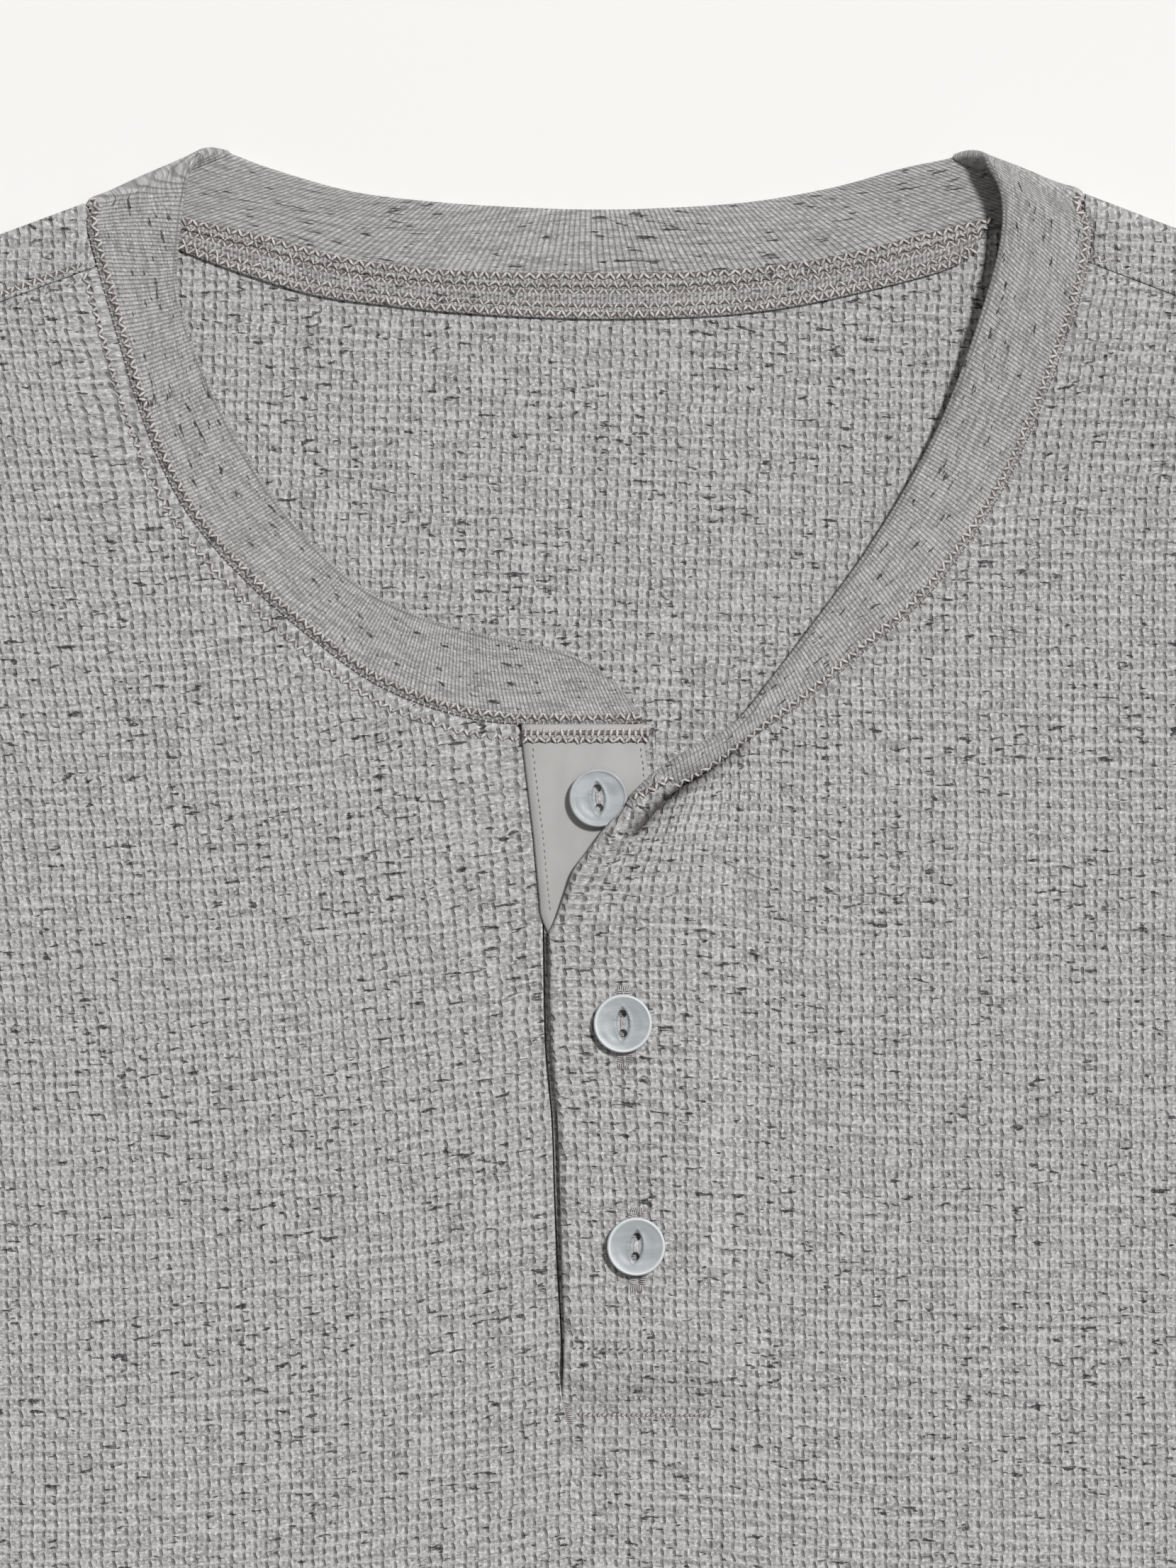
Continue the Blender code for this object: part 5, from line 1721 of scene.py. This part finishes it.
@dataclass(frozen=True)
class SewingThread:
    """Spun polyester thread in greyed mauve: a little gloss, and light and dark turns along its twist.

    Attributes:
        pale, dark: the thread's turns.
        shade: painted shade for thread that dives into the cloth and for the dark bed under the rows.
    """

    pale: str = "#d6d2d0"
    dark: str = "#a49d9c"
    shade: str = "#6c6462"

    def material(self, name: str) -> bpy.types.Material:
        """Make the thread's material."""
        m = Shading(name)
        place = m.add("TexCoord").outputs["Object"]
        tone = m.noise(place, 900.0, 2.0, 0.7)
        colour = m.blend(m.between(tone, 0.36, 0.6), self.dark, self.pale)
        # Painted shade: where tone is below 1 the thread takes the shade colour
        colour = m.blend(m.marked("tone"), self.shade, colour)
        return m.finish(colour, 0.6, tone, 0.08, 0.6, {"IOR": 1.5, "Specular IOR Level": 0.35})


@dataclass(frozen=True)
class PaintedFloor:
    """Matt off-white paint on a flat board, even, so that it reads as a studio floor.

    Attributes:
        base, cloud: its colour and the faint clouds in it.
    """

    base: str = "#f4f3f1"
    cloud: str = "#f6f5f3"

    def material(self, name: str) -> bpy.types.Material:
        """Make the floor's material."""
        m = Shading(name)
        place = m.add("TexCoord").outputs["Object"]
        tone = m.blend(m.between(m.noise(place, 3.0), 0.3, 0.7), self.base, self.cloud)
        return m.finish(tone, 0.9, None, 0.0, 0.0, {"Specular IOR Level": 0.1})


# ---------------------------------------------------------------- buttons

@dataclass
class Button:
    """A two-hole fish-eye button: turned from its section, with an almond hollow round its holes.

    Attributes:
        index: its number, from the top.
        x, y: its centre.
        seat: height of the cloth that it lies on.
        lean: which way its holes lie, in degrees from straight up.
        lip_highlight: how strong the painted highlight on its lip is, from 0 to 1.
        radius: of the disc.
        hole_radius, hole_spacing: of its two holes.
        thread_rise: height of the thread over the button's underside.
        segments: steps round it.
        section: radius and height along its section, from the middle of the underside round to that of the face.
    """

    index: int
    x: float
    y: float
    seat: float
    lean: float
    lip_highlight: float = 1.0
    radius: float = 11.43 / 2
    hole_radius: float = 0.8
    hole_spacing: float = 3.8
    thread_rise: float = 1.32
    segments: int = 96
    section: tuple[tuple[float, float], ...] = (
        (0.0, 0.0), (3.9, 0.0), (4.8, 0.2), (5.3, 0.55), (5.6, 0.92), (11.43 / 2, 1.3), (5.71, 1.72), (5.64, 2.06),
        (5.52, 2.28), (5.38, 2.36), (5.24, 2.3), (5.12, 2.14), (5.0, 2.02), (4.8, 1.97), (4.4, 1.95), (4.0, 1.93),
        (3.7, 1.9), (3.45, 1.86), (3.2, 1.82), (2.9, 1.79), (2.6, 1.77), (2.3, 1.76), (2.0, 1.75), (1.7, 1.75),
        (1.4, 1.75), (1.1, 1.75), (0.8, 1.75), (0.5, 1.75), (0.25, 1.75), (0.0, 1.75))

    def turned(self) -> bpy.types.Mesh:
        """The button's body about its own middle, in millimetres."""
        bm = bmesh.new()
        start = bmesh.ops.create_vert(bm, co=(self.section[0][0], 0.0, self.section[0][1]))["vert"][0]
        for r, z in self.section[1:]:
            grown = bmesh.ops.extrude_vert_indiv(bm, verts=[start])["verts"][0]
            grown.co = (r, 0.0, z)
            start = grown
        bmesh.ops.spin(bm, geom=bm.verts[:] + bm.edges[:], cent=(0, 0, 0), axis=(0, 0, 1), angle=math.tau,
                       steps=self.segments, use_merge=True)
        bmesh.ops.remove_doubles(bm, verts=bm.verts, dist=0.001)
        bmesh.ops.recalc_face_normals(bm, faces=bm.faces)
        lip = bm.verts.layers.float.new("lip")
        for vert in bm.verts:
            x, y, z = vert.co
            # Painted highlight: the top of the outer rim is marked to be coloured pale
            vert[lip] = self.lip_highlight * float(ease(4.9, 5.2, math.hypot(x, y)) * ease(1.0, 1.9, z))
            if z > 1.6 and math.hypot(x, y) < 3.9:
                # Two arcs that meet in points above and below: a raised border, and the hollow within it
                inside = 4.9 - math.hypot(abs(x) + 3.4, y)
                vert.co.z += 0.13 * math.exp(-((inside / 0.3) ** 2)) - 0.62 * float(ease(0.0, 0.5, inside))
        return as_mesh(bm, "button")

    def build(self, finish: bpy.types.Material) -> None:
        """Turn the button, drill it and set it in its place."""
        blank = placed("blank", self.turned())
        drills = []
        for sign in (-1, 1):
            bm = bmesh.new()
            bmesh.ops.create_cone(bm, cap_ends=True, segments=28, radius1=self.hole_radius,
                                  radius2=self.hole_radius, depth=8.0)
            bmesh.ops.translate(bm, verts=bm.verts, vec=(0.0, sign * self.hole_spacing / 2, 1.0))
            drill = placed("drill", as_mesh(bm, "drill"))
            cut = blank.modifiers.new("hole", "BOOLEAN")
            cut.operation, cut.object = "DIFFERENCE", drill
            drills.append(drill)
        bpy.context.view_layer.update()
        shape = bpy.data.meshes.new_from_object(blank.evaluated_get(bpy.context.evaluated_depsgraph_get()))
        for item in (blank, *drills):
            bpy.data.objects.remove(item, do_unlink=True)
        bm = bmesh.new()
        bm.from_mesh(shape)
        bmesh.ops.rotate(bm, verts=bm.verts, cent=(0, 0, 0), matrix=Matrix.Rotation(math.radians(self.lean), 3, "Z"))
        bmesh.ops.translate(bm, verts=bm.verts, vec=(self.x, self.y + NECK_LEVEL, self.seat + GAP + FLOOR_LEVEL))
        bmesh.ops.scale(bm, verts=bm.verts, vec=(MM, MM, MM))
        piece = shown(f"button_disc_{self.index}", bm, finish)
        piece.data.set_sharp_from_angle(angle=math.radians(38))
        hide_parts(f"button_{self.index}")

    def sew_on(self, thread: bpy.types.Material) -> None:
        """Pass the thread from hole to hole."""
        sewing = Sewing(f"sewing_button_{self.index}", thread, 40 + self.index)
        lean = math.radians(self.lean)
        up = np.array([(-math.sin(lean), math.cos(lean), 0.0)])
        side = np.array([(math.cos(lean), math.sin(lean), 0.0)])
        middle = np.array((self.x, self.y, self.seat + GAP + self.thread_rise))
        for offset in (-0.3, -0.1, 0.12, 0.32):
            sewing.add(middle + side * offset, up * 2.7 - side * offset * 0.6, side * 0.27,
                       np.array([[0.0, 0.0, 0.3]]), 1.0)
        sewing.build()


# ---------------------------------------------------------------- studio

@dataclass
class Studio:
    """A pale floor, a lamp high at the upper right, soft fill, and a camera straight above the neck.

    Attributes:
        frame_height: what the camera takes in, from top to bottom, in millimetres.
        centre_y: the middle of that, from the neck's level.
        distance: the camera's height above the cloth.
        cloth_level: the height of the cloth there.
        lamp_azimuth, lamp_elevation: where the key light comes from, in degrees.
        lamp_power, sky_power: how strong it and the fill are.
        sky: the fill's colour.
    """

    frame_height: float = 307.5
    centre_y: float = (210.0 - 1106.0) * 0.139
    distance: float = 1400.0
    cloth_level: float = 3.0
    lamp_azimuth: float = 45.0
    lamp_elevation: float = 61.0
    lamp_power: float = 2.75
    sky_power: float = 0.26
    sky: str = "#fdfcfb"

    def build_floor(self, finish: bpy.types.Material) -> None:
        """Lay the floor."""
        bm = bmesh.new()
        bmesh.ops.create_grid(bm, x_segments=8, y_segments=8, size=3.0)
        floor = placed("floor", as_mesh(bm, "floor"))
        floor.data.materials.append(finish)

    def build_lights(self) -> None:
        """Hang the lamp and set the fill."""
        lamp = bpy.data.lights.new("lamp", "SUN")
        lamp.energy = self.lamp_power
        lamp.angle = math.radians(7.0)
        azimuth, elevation = math.radians(self.lamp_azimuth), math.radians(self.lamp_elevation)
        towards = Vector((math.cos(azimuth) * math.cos(elevation), math.sin(azimuth) * math.cos(elevation),
                          math.sin(elevation)))
        placed("lamp", lamp).rotation_euler = towards.to_track_quat("Z", "Y").to_euler()
        world = bpy.data.worlds.new("studio")
        bpy.context.scene.world = world
        world.use_nodes = True
        background = world.node_tree.nodes["Background"]
        background.inputs[0].default_value = linear(self.sky)
        background.inputs[1].default_value = self.sky_power

    def build_camera(self) -> None:
        """Set the camera straight above the neck opening."""
        lens = bpy.data.cameras.new("camera")
        lens.sensor_width = 36.0
        lens.lens = 36.0 * self.distance / self.frame_height
        lens.clip_start, lens.clip_end = 0.05, 20.0
        camera = bpy.context.scene.camera = placed("camera", lens)
        camera.location = in_frame(np.array((0.0, self.centre_y, self.cloth_level + self.distance)))

    def build(self, finish: bpy.types.Material) -> None:
        """Set up the whole studio."""
        self.build_floor(finish)
        self.build_lights()
        self.build_camera()
        bpy.context.scene.view_settings.view_transform = "Standard"


def main() -> None:
    """Make the garment and the studio, logging each new piece's number of faces."""
    logging.basicConfig(level=logging.INFO, format="%(name)s: %(message)s")
    waffle = WaffleKnit().material("waffle_knit_cotton")
    rib = RibKnit().material("fine_rib_cotton")
    poplin = PlainWeave().material("cotton_poplin")
    plastic = SatinPolyester().material("satin_polyester")
    thread = SewingThread().material("spun_polyester_thread")
    allowance = BackAllowance(rib)
    BackPanel(waffle).build(allowance.build())
    FrontPanel(waffle).build()
    for side in (-1, 1):
        Sleeve(side, waffle, rib).build()
    band = Neckband(rib)
    band.build()
    Placket(waffle, poplin).build()
    # The first button's painted lip highlight is weaker
    buttons = [Button(1, 2.0, -127.3, FACING_FACE, 6.0, 0.3), Button(2, 6.8, -171.4, OVERLAP_FACE, 2.0),
               Button(3, 9.4, -215.0, OVERLAP_FACE, -4.0)]
    for button in buttons:
        button.build(plastic)
        button.sew_on(thread)
    NeckSewing(band, allowance, thread).build()
    PlacketSewing(thread, buttons[1:]).build()
    BodySewing(thread).build()
    Studio().build(PaintedFloor().material("matt_paint"))


if __name__ == "__main__":
    main()
